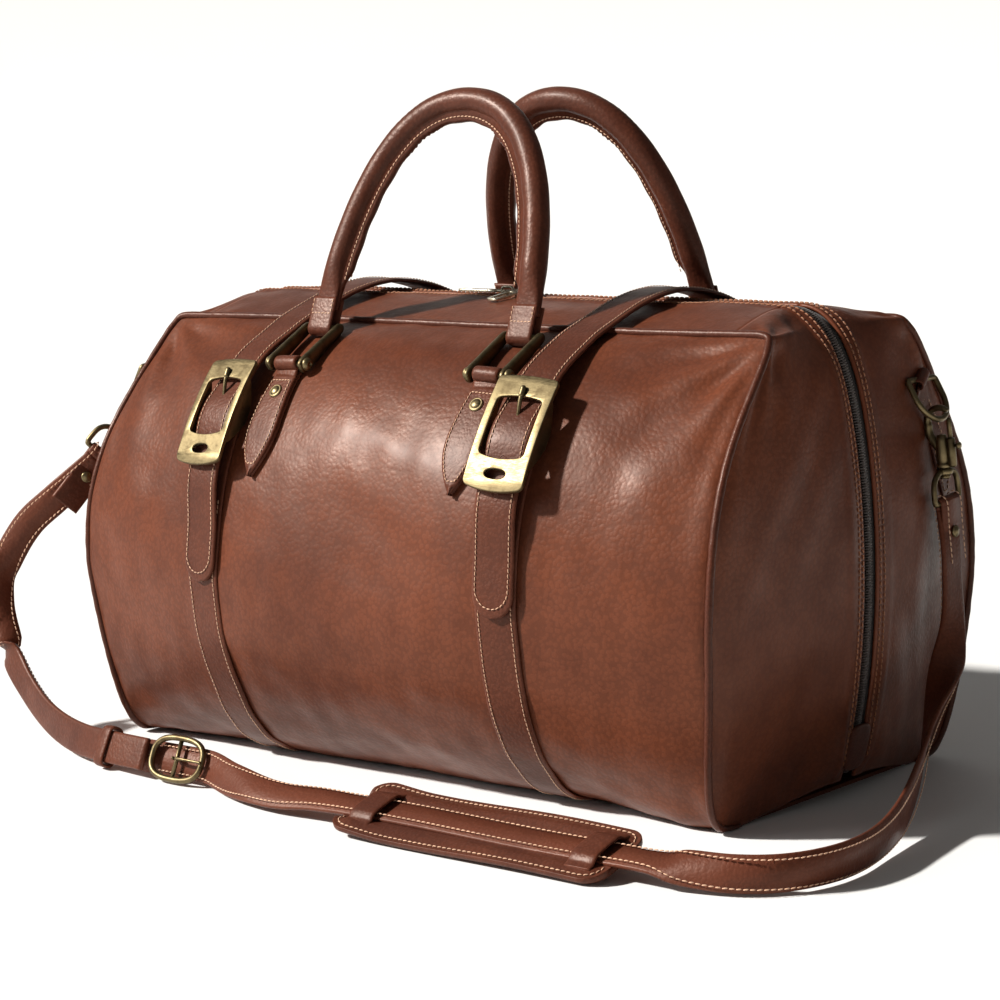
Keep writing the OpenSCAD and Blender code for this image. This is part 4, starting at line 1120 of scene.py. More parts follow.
def makeBuckles():
    for side, name in ((-1, "left"), (1, "right")):
        place = onFace(side)
        window = shifted(roundedLoop(33, 38, 2.5, 5, 2.2, 2.6), 0, 2.5)
        frameLoops = [roundedLoop(44, 74, 3.2, 6, 1.6, 3.2), window, ovalLoop(15.5, 6.4, 0, -29)]
        points, faces = plate(frameLoops, 2.8, 0.55, 26)
        points[:, 2] += buckle["plateOff"] + 0.9 + 2.9 * (1 - (points[:, 1] / 38) ** 2)
        # deep cheeks beside the window carry the bar
        sides = []
        for edge in (-1, 1):
            cheek = plate([[[-25, -1.5], [25, -1.5], [22, -5], [12, -10], [5, -12.6], [-5, -12.6],
                            [-12, -10], [-22, -5]]], 2.6, 0.6)
            m = Matrix(((0, 0, 1, edge * 20.3), (1, 0, 0, 0),
                        (0, 1, 0, buckle["plateOff"] + 4.2), (0, 0, 0, 1)))
            sides.append(moved(cheek, m))
        rod = rounded([(-20, 0, buckle["barOff"]), (20, 0, buckle["barOff"])], buckle["bar"] / 2, 16)
        whole = moved(joined([(points, faces)] + sides + [rod]), place)
        build(name + "Buckle", whole, antiqueBrass, replaces=["buckle_" + name], smooth=True)
        # tongue: a rod from a curl on the bar, through the strap, to the notch
        curl = [(0, 2.7 * math.cos(a), buckle["barOff"] + 2.7 * math.sin(a))
                for a in np.linspace(-4.4, 1.2, 20)]
        rod = through([curl[-1], (0, 6, 9.4), (0, 13, 12.6), (0, 20, 15.2), (0, 25.6, 16.4)], 8)
        path = np.vstack([curl[:-1], rod])
        sizes = np.concatenate([np.full(len(curl) - 1, 1.0), np.linspace(1.0, 1.5, len(rod))])
        tongue = joined([tube(path, sizes, 14), rounded([(0, 24.4, 16.2), (0, 28.6, 16.6)], 1.9, 14)])
        build(name + "BuckleTongue", moved(tongue, place), antiqueBrass, body=name + "_tongue",
              replaces=["buckle_tongue_" + name])


makeBuckles()
print("stage: buckles")


# ---- handles
leanAngle = math.radians(handle["lean"])


def archPoint(k):
    rise, flat = handle["rise"], handle["flat"]
    q = np.where(k < 0.5, 2 * k, 2 - 2 * k)
    x = bez(handle["x"], handle["x"] - 1, 0.74 * handle["x"], 0.0, q)
    z = bez(flat, 0.5 * rise, rise, rise, q)
    x = np.where(k < 0.5, x, -x)
    return np.stack([x, barAt[1] + z * math.sin(leanAngle), barAt[2] + z * math.cos(leanAngle)], -1)


def rollSection(flat, fin):
    # round roll with a stitched fin towards the middle; flat shares from 0, round, to 1, a folded tab
    pts = []
    r = handle["d"] / 2 - 0.3
    for a in np.radians(np.linspace(-152, 152, 22)):
        pts.append([r * math.cos(a), r * math.sin(a)])
    reach = r + 6.0 * fin
    pts += [[-r * 0.94, 2.6], [-reach + 1.2, 2.4], [-reach, 1.5], [-reach, -1.5],
            [-reach + 1.2, -2.4], [-r * 0.94, -2.6]]
    pts = np.array(pts)
    tab = pts.copy()
    tab[:, 0] = np.clip(pts[:, 0] * 1.12, -10.2, 10.2)
    tab[:, 1] = np.clip(pts[:, 1] * 0.6, -2.6, 2.6)
    return mix(pts, tab, flat)


def makeHandles():
    lean = np.array([0, -math.cos(leanAngle), math.sin(leanAngle)])
    for back, name in ((False, "front"), (True, "back")):
        flip = np.array((1, (-1 if back else 1), 1))
        ks = np.concatenate([np.linspace(0, 0.14, 26)[:-1], np.linspace(0.14, 0.86, 130),
                             np.linspace(0.86, 1, 26)[1:]])
        path = archPoint(ks)
        t = tangents(path)
        rings, seamA = [], []
        run = lengths(path)
        for i, k in enumerate(ks):
            edge = min(k, 1 - k)
            flat = 1 - smoothStep(0.0, 0.085, edge)
            fin = smoothStep(0.035, 0.075, edge)
            across = np.cross(lean, t[i])
            outward = unit(np.cross(t[i], lean))
            sec = rollSection(flat, fin)
            # cross wrinkles on the inner side of the bend
            bend = math.exp(-((k - 0.36) / 0.05) ** 2) + math.exp(-((k - 0.64) / 0.05) ** 2)
            rumple = 0.28 * math.sin(run[i] * 1.25) * bend + 0.16 * math.sin(run[i] * 0.23 + 2 * k)
            inner = np.clip(-sec[:, 0] / 9, 0, 1)
            scale = 1 + (rumple * (0.4 + inner) / 9)
            sec = sec * scale[:, None]
            sign = 1 if np.dot(outward, np.array([path[i][0], 0, 0.8 * (path[i][2] - barAt[2])])) > 0 else -1
            outward = outward * sign
            rings.append(path[i] + outward * sec[:, 0:1] + lean * sec[:, 1:2])
            if edge > 0.05:
                seamA.append(path[i] - outward * (handle["d"] / 2 + 2.9))
        rings = np.array(rings)
        roll = loft(rings)
        if np.linalg.det(np.stack([t[60], rings[60][5] - rings[60][0], rings[60][10] - rings[60][0]])) > 0:
            roll = (roll[0], [f[::-1] for f in roll[1]])
        feet = []
        for side in (-1, 1):
            centre = barAt + np.array([side * handle["x"], 0, 0])
            up = np.array([0, math.sin(leanAngle), math.cos(leanAngle)])
            r = handle["pin"] / 2 + 0.35 + 1.1
            line = [centre + lean * 3.7 + up * 21]
            line += [centre + lean * 3.75 + up * 13, centre + lean * 3.8 + up * 6]
            line += [centre + r * (lean * math.cos(a) - up * math.sin(a))
                     for a in np.linspace(0, math.pi, 14)]
            line += [centre - lean * 3.8 + up * 6, centre - lean * 3.75 + up * 13,
                     centre - lean * 3.7 + up * 21]
            line = through(line, 3)
            away = line - centre
            high = away @ up
            normals = np.where((high > 0)[:, None], np.outer(np.sign(away @ lean), lean), unit(away))
            feet.append(ribbon(line, normals, 10.2, 2.2, -1.1))
        both = joined([roll] + feet)
        build(name + "Handle", mirrored(both, flip, back), handleHide, body=name + "_handle",
                    replaces=["handle_" + name])
        rows = []
        seam = np.array(seamA)
        for hand in (-1, 1):
            rows.append(stitchRow((seam + lean * 2.35 * hand) * flip,
                                  np.tile(lean * hand, (len(seam), 1)) * flip,
                                  3.2, 0.42))
        for side in (-1, 1):
            centre = barAt + np.array([side * handle["x"], 0, 0])
            up = np.array([0, math.sin(leanAngle), math.cos(leanAngle)])
            for hand in (-1, 1):
                across = np.linspace(-8.6, 8.6, 12)[:, None] * np.array([[1, 0, 0]])
                line = centre + across + up * 9.5 + lean * hand * 4.75
                rows.append(stitchRow(line * flip, np.tile(lean * hand, (12, 1)) * flip, 3.0, 0.4))
                for edge in (-8.4, 8.4):
                    tall = np.linspace(10, 20, 6)[:, None]
                    line = centre + np.array([edge, 0, 0]) + up * tall + lean * hand * 4.75
                    rows.append(stitchRow(line * flip, np.tile(lean * hand, (6, 1)) * flip, 3.0, 0.4))
        build(name + "HandleStitches", joined(rows), tanThread, body=name + "_handle")


def makeShackles():
    along = np.array([0, math.cos(slope), math.sin(slope)])
    rise = np.array([0, -math.sin(slope), math.cos(slope)])
    for back, panel in ((False, "front"), (True, "back")):
        flip = np.array((1, (-1 if back else 1), 1))

        pins = []
        for side, name in ((-1, "left"), (1, "right")):
            centre = pinAt + np.array([side * handle["x"], 0, 0])
            parts = []
            for edge in (-1, 1):
                x = edge * (handle["gap"] / 2 + 2.3)
                marks = [(-5.6, 2.2, 1.2), (-4.2, 4.1, 1.9), (0, 5.2, 2.35), (8, 4.9, 2.3), (20, 4.6, 2.2),
                         (32, 4.0, 2.2), (38, 3.8, 2.2), (42, 3.2, 2.0), (44, 1.8, 1.2)]
                rings = []
                for reach, tall, wide in marks:
                    ring = []
                    for a in np.arange(16) * math.pi / 8:
                        cx = math.copysign(abs(math.cos(a)) ** 0.6, math.cos(a)) * wide
                        cz = math.copysign(abs(math.sin(a)) ** 0.6, math.sin(a)) * tall
                        ring.append(centre + np.array([x + cx, 0, 0]) + along * reach + rise * cz)
                    rings.append(ring)
                rings = np.array(rings)
                smooth = np.stack([through(rings[:, j], 3) for j in range(16)], 1)
                parts.append(loft(smooth))
            top = centre + along * handle["shackle"]
            parts.append(tube([top + np.array([-13, 0, 0]), top + np.array([13, 0, 0])], 2.5, 20))
            build(panel + "Shackle" + name.capitalize(), mirrored(joined(parts), flip, back), antiqueBrass,
                  body=panel + "_links", replaces=["shackle_%s_%s" % (panel, name)])
            half = handle["gap"] / 2 + 4.4
            pin = [tube([centre + np.array([-half, 0, 0]), centre + np.array([half, 0, 0])], 2.5, 20)]
            for edge in (-1, 1):
                head = lathe([(0.01, -0.6), (4.3, -0.6), (4.4, 0.4), (3.9, 1.7), (2.7, 2.7),
                              (1.5, 3.1), (1.3, 2.4),
                              (0.01, 2.3)], 24)
                m = Matrix.Translation(Vector(centre + np.array([edge * half, 0, 0])))
                m = m @ Matrix.Rotation(edge * math.pi / 2, 4, "Y")
                pin.append(moved(head, m))
            pins.append(joined(pin))
        build(panel + "ShacklePins", mirrored(joined(pins), flip, back), antiqueBrass, body=panel + "_links",
              replaces=["shackle_pins_" + panel])


def leafHalf(k, wide, top):
    point = wide * np.sin(math.pi / 2 * np.clip(k / 0.42, 0, 1)) ** 0.85
    return np.where(k < 0.42, np.maximum(0.6, point), mix(wide, top, smoothStep(0.42, 1, k)))


def leafTab(line, normals, centre, loopR, wide, top, thick):
    # leaf-shaped tab: up the hide, round the pin and back down on itself
    n = len(line)
    run = lengths(line) / lengths(line)[-1]
    half = leafHalf(run, wide, top)
    t = tangents(line)
    up, nrm = t[-1], normals[-1]
    nrm = unit(nrm - up * np.dot(up, nrm))
    arc = [centre + loopR * (up * math.cos(a) + nrm * math.sin(a)) for a in np.linspace(-1.3, 3.6, 22)]
    under = line + normals * 0.3
    over = (line + normals * (0.3 + thick))[::-1]
    cut = int(n * 0.1)
    lower = ribbon(under, normals, half, thick - 0.1)
    upper = ribbon(over[cut:], normals[::-1][cut:], half[::-1][cut:], thick - 0.1)
    loop = through(list(arc) + [over[cut] + nrm * thick * 0.5], 3)
    loopUp = np.array([unit(p - centre) for p in loop])
    loopUp[-4:] = nrm
    strap = ribbon(loop, loopUp, top, thick - 0.1, -thick / 2)
    # stitches round the leaf
    side = unit(np.cross(normals, t))
    inset = 2.3
    lift = 0.3 + 2 * thick + 0.12
    keep = (run > 0.1) & (run < 0.86)
    left = (line - side * (half - inset)[:, None] + normals * lift)[keep]
    right = (line + side * (half - inset)[:, None] + normals * lift)[keep]
    ups = normals[keep]
    rows = [stitchRow(np.vstack([right[::-1], left]), np.vstack([ups[::-1], ups]), 2.9, 0.36)]
    rows.append(stitchRow(np.linspace(right[-1], left[-1], 8), np.tile(ups[-1], (8, 1)), 2.9, 0.36))
    return joined([lower, upper, strap]), joined(rows)


def makeAnchorTabs():
    rivets = []
    for back, panel in ((False, "front"), (True, "back")):
        flip = np.array((1, (-1 if back else 1), 1))
        stitches = []
        for side, name in ((-1, "left"), (1, "right")):
            x = side * handle["x"]
            low = shareDown(handle["x"], pinT, 78)
            ts = np.linspace(low, pinT, 60)
            xs = np.full_like(ts, x)
            normals = faceNormal(xs, ts)
            line = face(xs, ts) + normals * (folds(xs, ts, back))[:, None]
            centre = pinAt + np.array([x, 0, 0])
            tab, rows = leafTab(line, normals, centre, 4.0, 13.2, 10, 2.3)
            tab = mirrored(tab, flip, back)
            rows = mirrored(rows, flip, back)
            build("anchorTab%s%s" % (panel.capitalize(), name.capitalize()), tab, strapHide,
                  replaces=["anchor_tab_%s_%s" % (panel, name)])
            stitches.append(rows)
            rt = shareDown(handle["x"], pinT, 19)
            at = face(x, rt)
            n = faceNormal(x, rt)
            m = Matrix.Translation(Vector(at)) @ Vector(n).to_track_quat("Z", "Y").to_matrix().to_4x4()
            dome = lathe([(0.01, 3), (5.0, 4.6), (5.0, 5.5), (4.7, 6.2), (4.1, 6.3), (3.7, 6.1),
                          (3.4, 6.5), (2.2, 7.2),
                          (0.01, 7.5)], 28)
            dome = moved(dome, m)
            rivets.append(mirrored(dome, flip, back))
        build("anchorStitches" + panel.capitalize(), joined(stitches), tanThread)
    build("tabRivets", joined(rivets), antiqueBrass, replaces=["tab_rivets"])


makeHandles()
makeShackles()
makeAnchorTabs()
print("stage: handles")


# ---- rings and hooks on the ends
ring = {"v": 0.32, "z": 0.865 * bag["seamHeight"], "w": 30, "tilt": 30, "leg": 12}
ringS = findShare(lambda s: float(endPoint(s, ring["v"])[2]) - ring["z"], 0.05, 0.95)
ringFoot = endPoint(ringS, ring["v"])
ringAt = np.array([ringFoot[0] + 7.7, ringFoot[1], ring["z"] + 3])
hookRight = {"tilt": 6, "turn": -117, "roll": 117, "eyeRoll": 117}
hookLeft = {"tilt": 40, "turn": 57, "roll": -48, "eyeRoll": 90}
eyeBar = -52
hubZ = -34


def ringLow(side, drop):
    tilt = math.radians(ring["tilt"])
    p = ringAt + (ring["leg"] + ring["w"] / 2 + 2) * np.array([math.sin(tilt), 0, -math.cos(tilt)])
    return np.array([side * p[0], side * abs(p[1]), p[2] + drop])


def hookFrame(at, pose, roll):
    turn = Matrix.Rotation(math.radians(pose["turn"]), 4,
                           "Z") @ Matrix.Rotation(math.radians(pose["tilt"]), 4, "Y")
    return Matrix.Translation(Vector(at)) @ turn @ Matrix.Rotation(math.radians(pose[roll]), 4, "Z")


def makeRings():
    for side, name in ((-1, "left"), (1, "right")):
        flip = np.array((side, side * -1, 1))
        tilt = math.radians(ring["tilt"])
        half = ring["w"] / 2 + 2

        def swing(p):
            p = np.asarray(p, float)
            x = p[:, 0] * math.cos(tilt) - p[:, 2] * math.sin(tilt)
            z = p[:, 0] * math.sin(tilt) + p[:, 2] * math.cos(tilt)
            return np.stack([x, p[:, 1], z], 1) + ringAt

        bar = [(0, y, 0) for y in np.linspace(-half + 2, half - 2, 8)]
        cornerA = [(0, half - 2 + 2 * math.sin(a), -2 + 2 * math.cos(a))
                   for a in np.linspace(0, math.pi / 2, 5)[1:]]
        bowArc = [(0, half * math.cos(a), -ring["leg"] - half * math.sin(a))
                  for a in np.linspace(0, math.pi, 30)]
        cornerB = [(0, -half + 2 - 2 * math.cos(a), -2 + 2 * math.sin(a))
                   for a in np.linspace(0, math.pi / 2, 5)[:-1]]
        loop = swing(bar + cornerA + bowArc + cornerB)
        part = tube(loop, 2.0, 18, closed=True)
        part = (part[0] * flip, part[1])
        build(name + "Ring", part, antiqueBrass, body=name + "_ring",
              replaces=["d_ring_" + name])
        sLow = findShare(lambda s: float(endPoint(s, ring["v"])[2]) - (ring["z"] - 82), 0.05, 0.95)
        s = np.linspace(sLow, ringS, 50)
        v = np.full_like(s, ring["v"])
        normals = endNormal(s, v)
        line = endPoint(s, v) + normals * endFolds(s, v, 0)[:, None]
        tab, rows = leafTab(line, normals, ringAt, 3.4, 11.2, 9, 1.45)
        build("ringTab" + name.capitalize(), (tab[0] * flip, tab[1]), strapHide,
              replaces=["ring_tab_" + name])
        build("ringStitches" + name.capitalize(), (rows[0] * flip, rows[1]), tanThread)


def makeHook(at, pose, name):
    place = hookFrame(at, pose, "roll")
    bowPath = [(9.4 * math.cos(a), 0, 9.4 * math.sin(a))
               for a in np.linspace(math.radians(50), math.radians(195), 22)]
    bowPath += [(-9.2, 0, -5), (-8.4, 0, -9), (-5.6, 0, -13), (-2.6, 0, -17)]
    bowPath = through(bowPath, 2)
    size = np.interp(np.linspace(0, 1, len(bowPath)), [0, 0.1, 0.5, 1], [1.7, 2.0, 2.1, 3.0])
    body = lathe([(0.01, -31.6), (2.2, -31.6), (2.3, -30.4), (4.3, -30), (4.9, -29),
                  (4.9, -27.4), (4.2, -26.6),
                  (4.2, -25.6), (4.7, -24.8), (4.6, -20), (4.0, -12), (3.0, -8.5), (0.01, -8)], 28)
    barrel = tube([(6.2, 0, -29), (6.3, 0, -28), (6.4, 0, -20), (6.4, 0, -11), (6.4, 0, -10.4)],
                  [2.4, 3.0, 3.0, 2.9, 2.6], 20)
    neck = lathe([(0.01, -37.0), (3.4, -36.8), (3.7, -35.8), (3.4, -34.6), (2.1, -34.3), (2.1, -30)], 24)
    build(name + "Hook", moved(joined([tube(bowPath, size, 16), body, barrel, neck]), place), antiqueBrass,
          body=name + "_hook", replaces=["snap_hook_" + name])
    bolt = tube([(6.4, 0, -14), (6.4, 0, 2.0), (6.4, 0, 3.0)], [1.6, 1.6, 0.9], 16)
    knob = lathe([(0.01, 0), (1.2, 0), (1.2, 4.6), (2.2, 5), (2.5, 5.8), (2.2, 6.7), (0.01, 7.1)], 18)
    m = Matrix.Translation((6.4, 0, -15.2)) @ Matrix.Rotation(math.pi / 2, 4, "Y")
    build(name + "Bolt", moved(joined([bolt, moved(knob, m)]), place), antiqueBrass, body=name + "_bolt",
          replaces=["snap_bolt_" + name])
    place = hookFrame(at, pose, "eyeRoll")
    arm = ring["w"] / 2
    path = [(0, 3.6, hubZ + 1.8), (0, 8, hubZ + 1.2), (0, 12.2, hubZ - 1.6), (0, 14.6, hubZ - 6),
            (0, arm + 0.2, eyeBar + 4), (0, arm - 0.4, eyeBar + 1.2), (0, arm - 2.4, eyeBar), (0, 0, eyeBar)]
    half = through(path, 6)
    loop = np.vstack([half, (half * (1, -1, 1))[::-1][1:]])
    hub = lathe([(2.5, hubZ), (5.2, hubZ), (5.6, hubZ + 0.6), (5.6, hubZ + 2.8),
                 (5.0, hubZ + 3.6), (2.5, hubZ + 3.6),
                 (2.5, hubZ)], 28)
    build(name + "SwivelEye", moved(joined([tube(loop, 1.95, 16), hub]), place), antiqueBrass,
          replaces=["swivel_eye_" + name])


makeRings()
hookRightAt = ringLow(1, -2)
hookLeftAt = ringLow(-1, 0)
makeHook(hookRightAt, hookRight, "right")
makeHook(hookLeftAt, hookLeft, "left")
print("stage: rings and hooks")


# ---- zip sliders and pullers
def makeSliders():
    coilTop = zipZ - 0.2
    plateZ = coilTop + 0.5
    for side, name in ((-1, "left"), (1, "right")):
        shoe = plate([[[-6, -3.6], [-4.4, -5.1], [2, -5.1], [6, -2.6], [6, 2.6], [2, 5.1],
                       [-4.4, 5.1], [-6, 3.6]]],
                     1.7, 0.45)
        shoe = moved(shoe, Matrix.Translation((0, 0, plateZ + 0.85)))
        bridge = through([(-4.6, 0, plateZ + 1.2), (-4.7, 0, plateZ + 4.6), (-3.4, 0, plateZ + 5.9),
                          (0, 0, plateZ + 6.2),
                          (3.4, 0, plateZ + 5.9), (4.7, 0, plateZ + 4.6), (4.6, 0, plateZ + 1.2)], 5)
        rails = [moved(blockPart(10, 1.2, 2.4, 0.3),
                       Matrix.Translation((0, e * 4.5, plateZ - 0.6))) for e in (-1, 1)]
        whole = joined([shoe, tube(bridge, 0.95, 12)] + rails)
        build(name + "Slider", (whole[0] + np.array([side * 9, 0, 0]), whole[1]), paleBrass,
              body=name + "_slider",
              replaces=["slider_" + name])
    tagLoops = [roundedLoop(34, 10, 3, 6), shifted(roundedLoop(8, 5, 1.6, 5), 12, 0)]
    tag = plate(tagLoops, 1.8, 0.4)
    tag = (tag[0] + np.array([24, 0, 0]), tag[1])
    arms = [rounded([(0, e * 2.2, 0), (8, e * 2.2, 0)], 0.8, 12) for e in (-1, 1)]
    pin = rounded([(0, -2.6, 0), (0, 2.6, 0)], 0.8, 12)
    place = Matrix.Translation((-9, 0, coilTop + 3.7)) @ Matrix.Rotation(math.pi, 4, "Z")
    build("leftPuller", moved(joined([tag, pin] + arms), place), paleBrass, body="left_puller",
          replaces=["puller_left"])
    tagLoops = [roundedLoop(28, 11, 3, 6), shifted(roundedLoop(17, 5.4, 1.6, 5), 2.5, 0)]
    tag = plate(tagLoops, 1.8, 0.4)
    tag = (tag[0] + np.array([21, 0, 0]), tag[1])
    hoop = [(3.1 * math.cos(a), 0, 3.1 * math.sin(a)) for a in np.arange(24) * math.pi / 12]
    neck = rounded([(3.2, 0, 0), (8, 0, 0)], 0.8, 12)
    place = Matrix.Translation((9, 0, coilTop + 6.3)) @ Matrix.Rotation(math.radians(262), 4, "Z")
    place = place @ Matrix.Rotation(math.radians(10), 4, "Y")
    build("rightPuller", moved(joined([tag, neck, tube(hoop, 0.8, 12, closed=True, hint=(0, 1, 0))]),
                               place), paleBrass,
          body="right_puller", replaces=["puller_right"])


makeSliders()
print("stage: sliders")


# ---- shoulder strap: middle line, then the direction of the strap's width at each point
belt = {"width": 22, "thick": 3.0, "longLength": 921.9, "shortLength": 384.4}
longRoute = [
    ((285, 87, 175), (0, 1, 0.1)), ((287, 85, 154), (0, 1, 0.05)), ((289, 84, 131), (0, 1, 0)),
    ((292, 81, 109), (0.1, 1, 0)), ((297, 70, 89), (0.3, 0.9, 0.1)), ((306, 46, 71), (0.3, 0.7, 0.5)),
    ((318, 14, 52), (0.2, 0.4, 0.8)), ((333, -24, 34), (0.1, 0.1, 1)), ((348, -68, 20), (0, 0, 1)),
    ((361, -112, 14), (0, 0, 1)), ((369, -152, 13), (0, 0, 1)), ((367, -186, 13), (0, 0, 1)),
    ((354, -214, 13), (0, 0.1, 1)), ((331, -230, 13), (0, 0.3, 1)), ((304, -237, 14), (0, 0.6, 0.8)),
    ((284, -238, 14.5), (0, 0.96, 0.28)), ((240, -238, 14.5), (0, 0.96, 0.28)),
    ((190, -238, 14.5), (0, 0.96, 0.28)), ((140, -238, 14.5), (0, 0.96, 0.28)),
    ((90, -238, 14.5), (0, 0.96, 0.28)), ((50, -238, 14.5),
                                          (0, 0.96, 0.28)), ((22, -238, 14), (0, 0.93, 0.37)),
    ((-8, -239, 12), (0, 0.85, 0.5)), ((-36, -236, 12), (0, 0.75, 0.6)), ((-64, -228, 12), (0, 0.5, 0.85)),
    ((-92, -219, 14), (0, 0.4, 0.92)), ((-120, -218, 14), (0, 0.4, 0.92)), ((-152, -218, 14), (0, 0.4, 0.92))]
shortRoute = [
    ((-303, -114, 192), (-0.4, -0.6, 0.68)), ((-314, -125, 177), (-0.4, -0.6, 0.68)),
    ((-328, -135, 163), (-0.2, -0.3, 0.9)), ((-343, -144, 148), (0, -0.1, 1)), ((-354, -151, 130), (0, 0, 1)),
    ((-360, -158, 110), (0, 0, 1)), ((-358, -164, 90),
                                     (-0.5, -0.2, 0.8)), ((-348, -169, 70), (-0.7, -0.1, 0.6)),
    ((-331, -174, 51), (-0.4, 0.2, 0.9)), ((-308, -181, 34), (0, 0.1, 1)), ((-282, -190, 22), (0, 0.1, 1)),
    ((-252, -201, 16), (0, 0.2, 1)), ((-220, -211, 14), (0, 0.3, 1)), ((-184, -219, 15), (0, 0.4, 0.92)),
    ((-144, -224, 16), (0, 0.4, 0.92))]
pad = {"at": (158, -238, 14.5), "tilt": 16.3, "length": 206, "width": 58, "thick": 4.4, "inset": 18}
belthook = {"at": (-118, -222, 16.4), "tilt": 66}


def eyeFold(at, pose, flip):
    # flap outside, over the bar and down to the strap's first points; ends with the width direction
    place = hookFrame(at, pose, "eyeRoll")
    r = 1.95 + belt["thick"] / 2 + 0.15
    local = [(flip * 3.3, 0, eyeBar - 46), (flip * 3.15, 0, eyeBar - 30), (flip * 3.15, 0, eyeBar - 15),
             (flip * 3.5, 0, eyeBar - 5)]
    local += [(flip * r * math.cos(a), 0, eyeBar + r * math.sin(a)) for a in np.linspace(0.1, math.pi, 10)]
    local += [(flip * -2.6, 0, eyeBar - 6)]
    points = np.array([(place @ Vector(p))[:] for p in local])
    width = np.array((place.to_3x3() @ Vector((0, 1, 0)))[:])
    return points, np.tile(width, (len(points), 1)), place


def strapLineFrom(route, at, pose, flip):
    fold, foldWide, place = eyeFold(at, pose, flip)
    main = np.array([p for p, u in route], float)[1:]
    wide = np.array([u for p, u in route], float)[1:]
    if np.dot(wide[0], foldWide[-1]) < 0:
        foldWide = -foldWide
    points = through(np.vstack([fold, main]), 7)
    widths = unit(through(np.vstack([foldWide, wide]), 7))
    t = tangents(points)
    widths = unit(widths - t * (widths * t).sum(-1, keepdims=True))
    normals = np.cross(t, widths)
    run = lengths(points)
    calmEnds = smoothStep(60, 120, run)
    points = points + normals * (0.5 * np.sin(run / 31) * calmEnds)[:, None]
    return points, normals, widths, place, 7 * len(fold)


def beltRows(points, normals, widths, start, stop):
    rows = []
    half = belt["width"] / 2 - 2.6
    for out in (1, -1):
        for edge in (-1, 1):
            lift = belt["thick"] / 2 - 0.05
            line = points + widths * edge * half + normals * out * lift
            rows.append(stitchRow(line[start:stop], normals[start:stop] * out, 3.9, 0.42))
    return joined(rows)


def makeBelt():
    rivets = []
    for route, name, at, pose, flip, length in ((longRoute, "long", hookRightAt, hookRight, 1,
                                                 belt["longLength"]),
                                                (shortRoute, "short", hookLeftAt, hookLeft, 1,
                                                 belt["shortLength"])):
        points, normals, widths, place, foldEnd = strapLineFrom(route, at, pose, flip)
        cut = foldEnd - 7
        flap = ribbon(points[:cut + 1], normals[:cut + 1], belt["width"] / 2, belt["thick"], 0.0, 0.35)
        fold = build("strapFold" + name.capitalize(), flap, strapHide)
        strap = ribbon(points[cut:], normals[cut:], belt["width"] / 2, belt["thick"], 0.0, 0.35)
        obj = build("shoulderStrap" + name.capitalize(), strap, strapHide,
                    replaces=["shoulder_strap_" + name])
        row = build("strapStitches" + name.capitalize(),
                    beltRows(points, normals, widths, 3, len(points) - 3),
                    tanThread)
        for depth, turn in ((4.5, math.pi / 2), (-2.0, -math.pi / 2)):
            head = lathe([(0.01, -0.6), (3.9, -0.6), (4.0, 0.3), (3.4, 0.8), (2.9, 0.8),
                          (2.5, 1.2), (0.01, 1.6)], 24)
            m = place @ Matrix.Translation((depth * flip, 0,
                                            eyeBar - 20)) @ Matrix.Rotation(turn * flip, 4, "Y")
            rivets.append(moved(head, m))
    build("strapRivets", joined(rivets), antiqueBrass, replaces=["strap_rivets"])


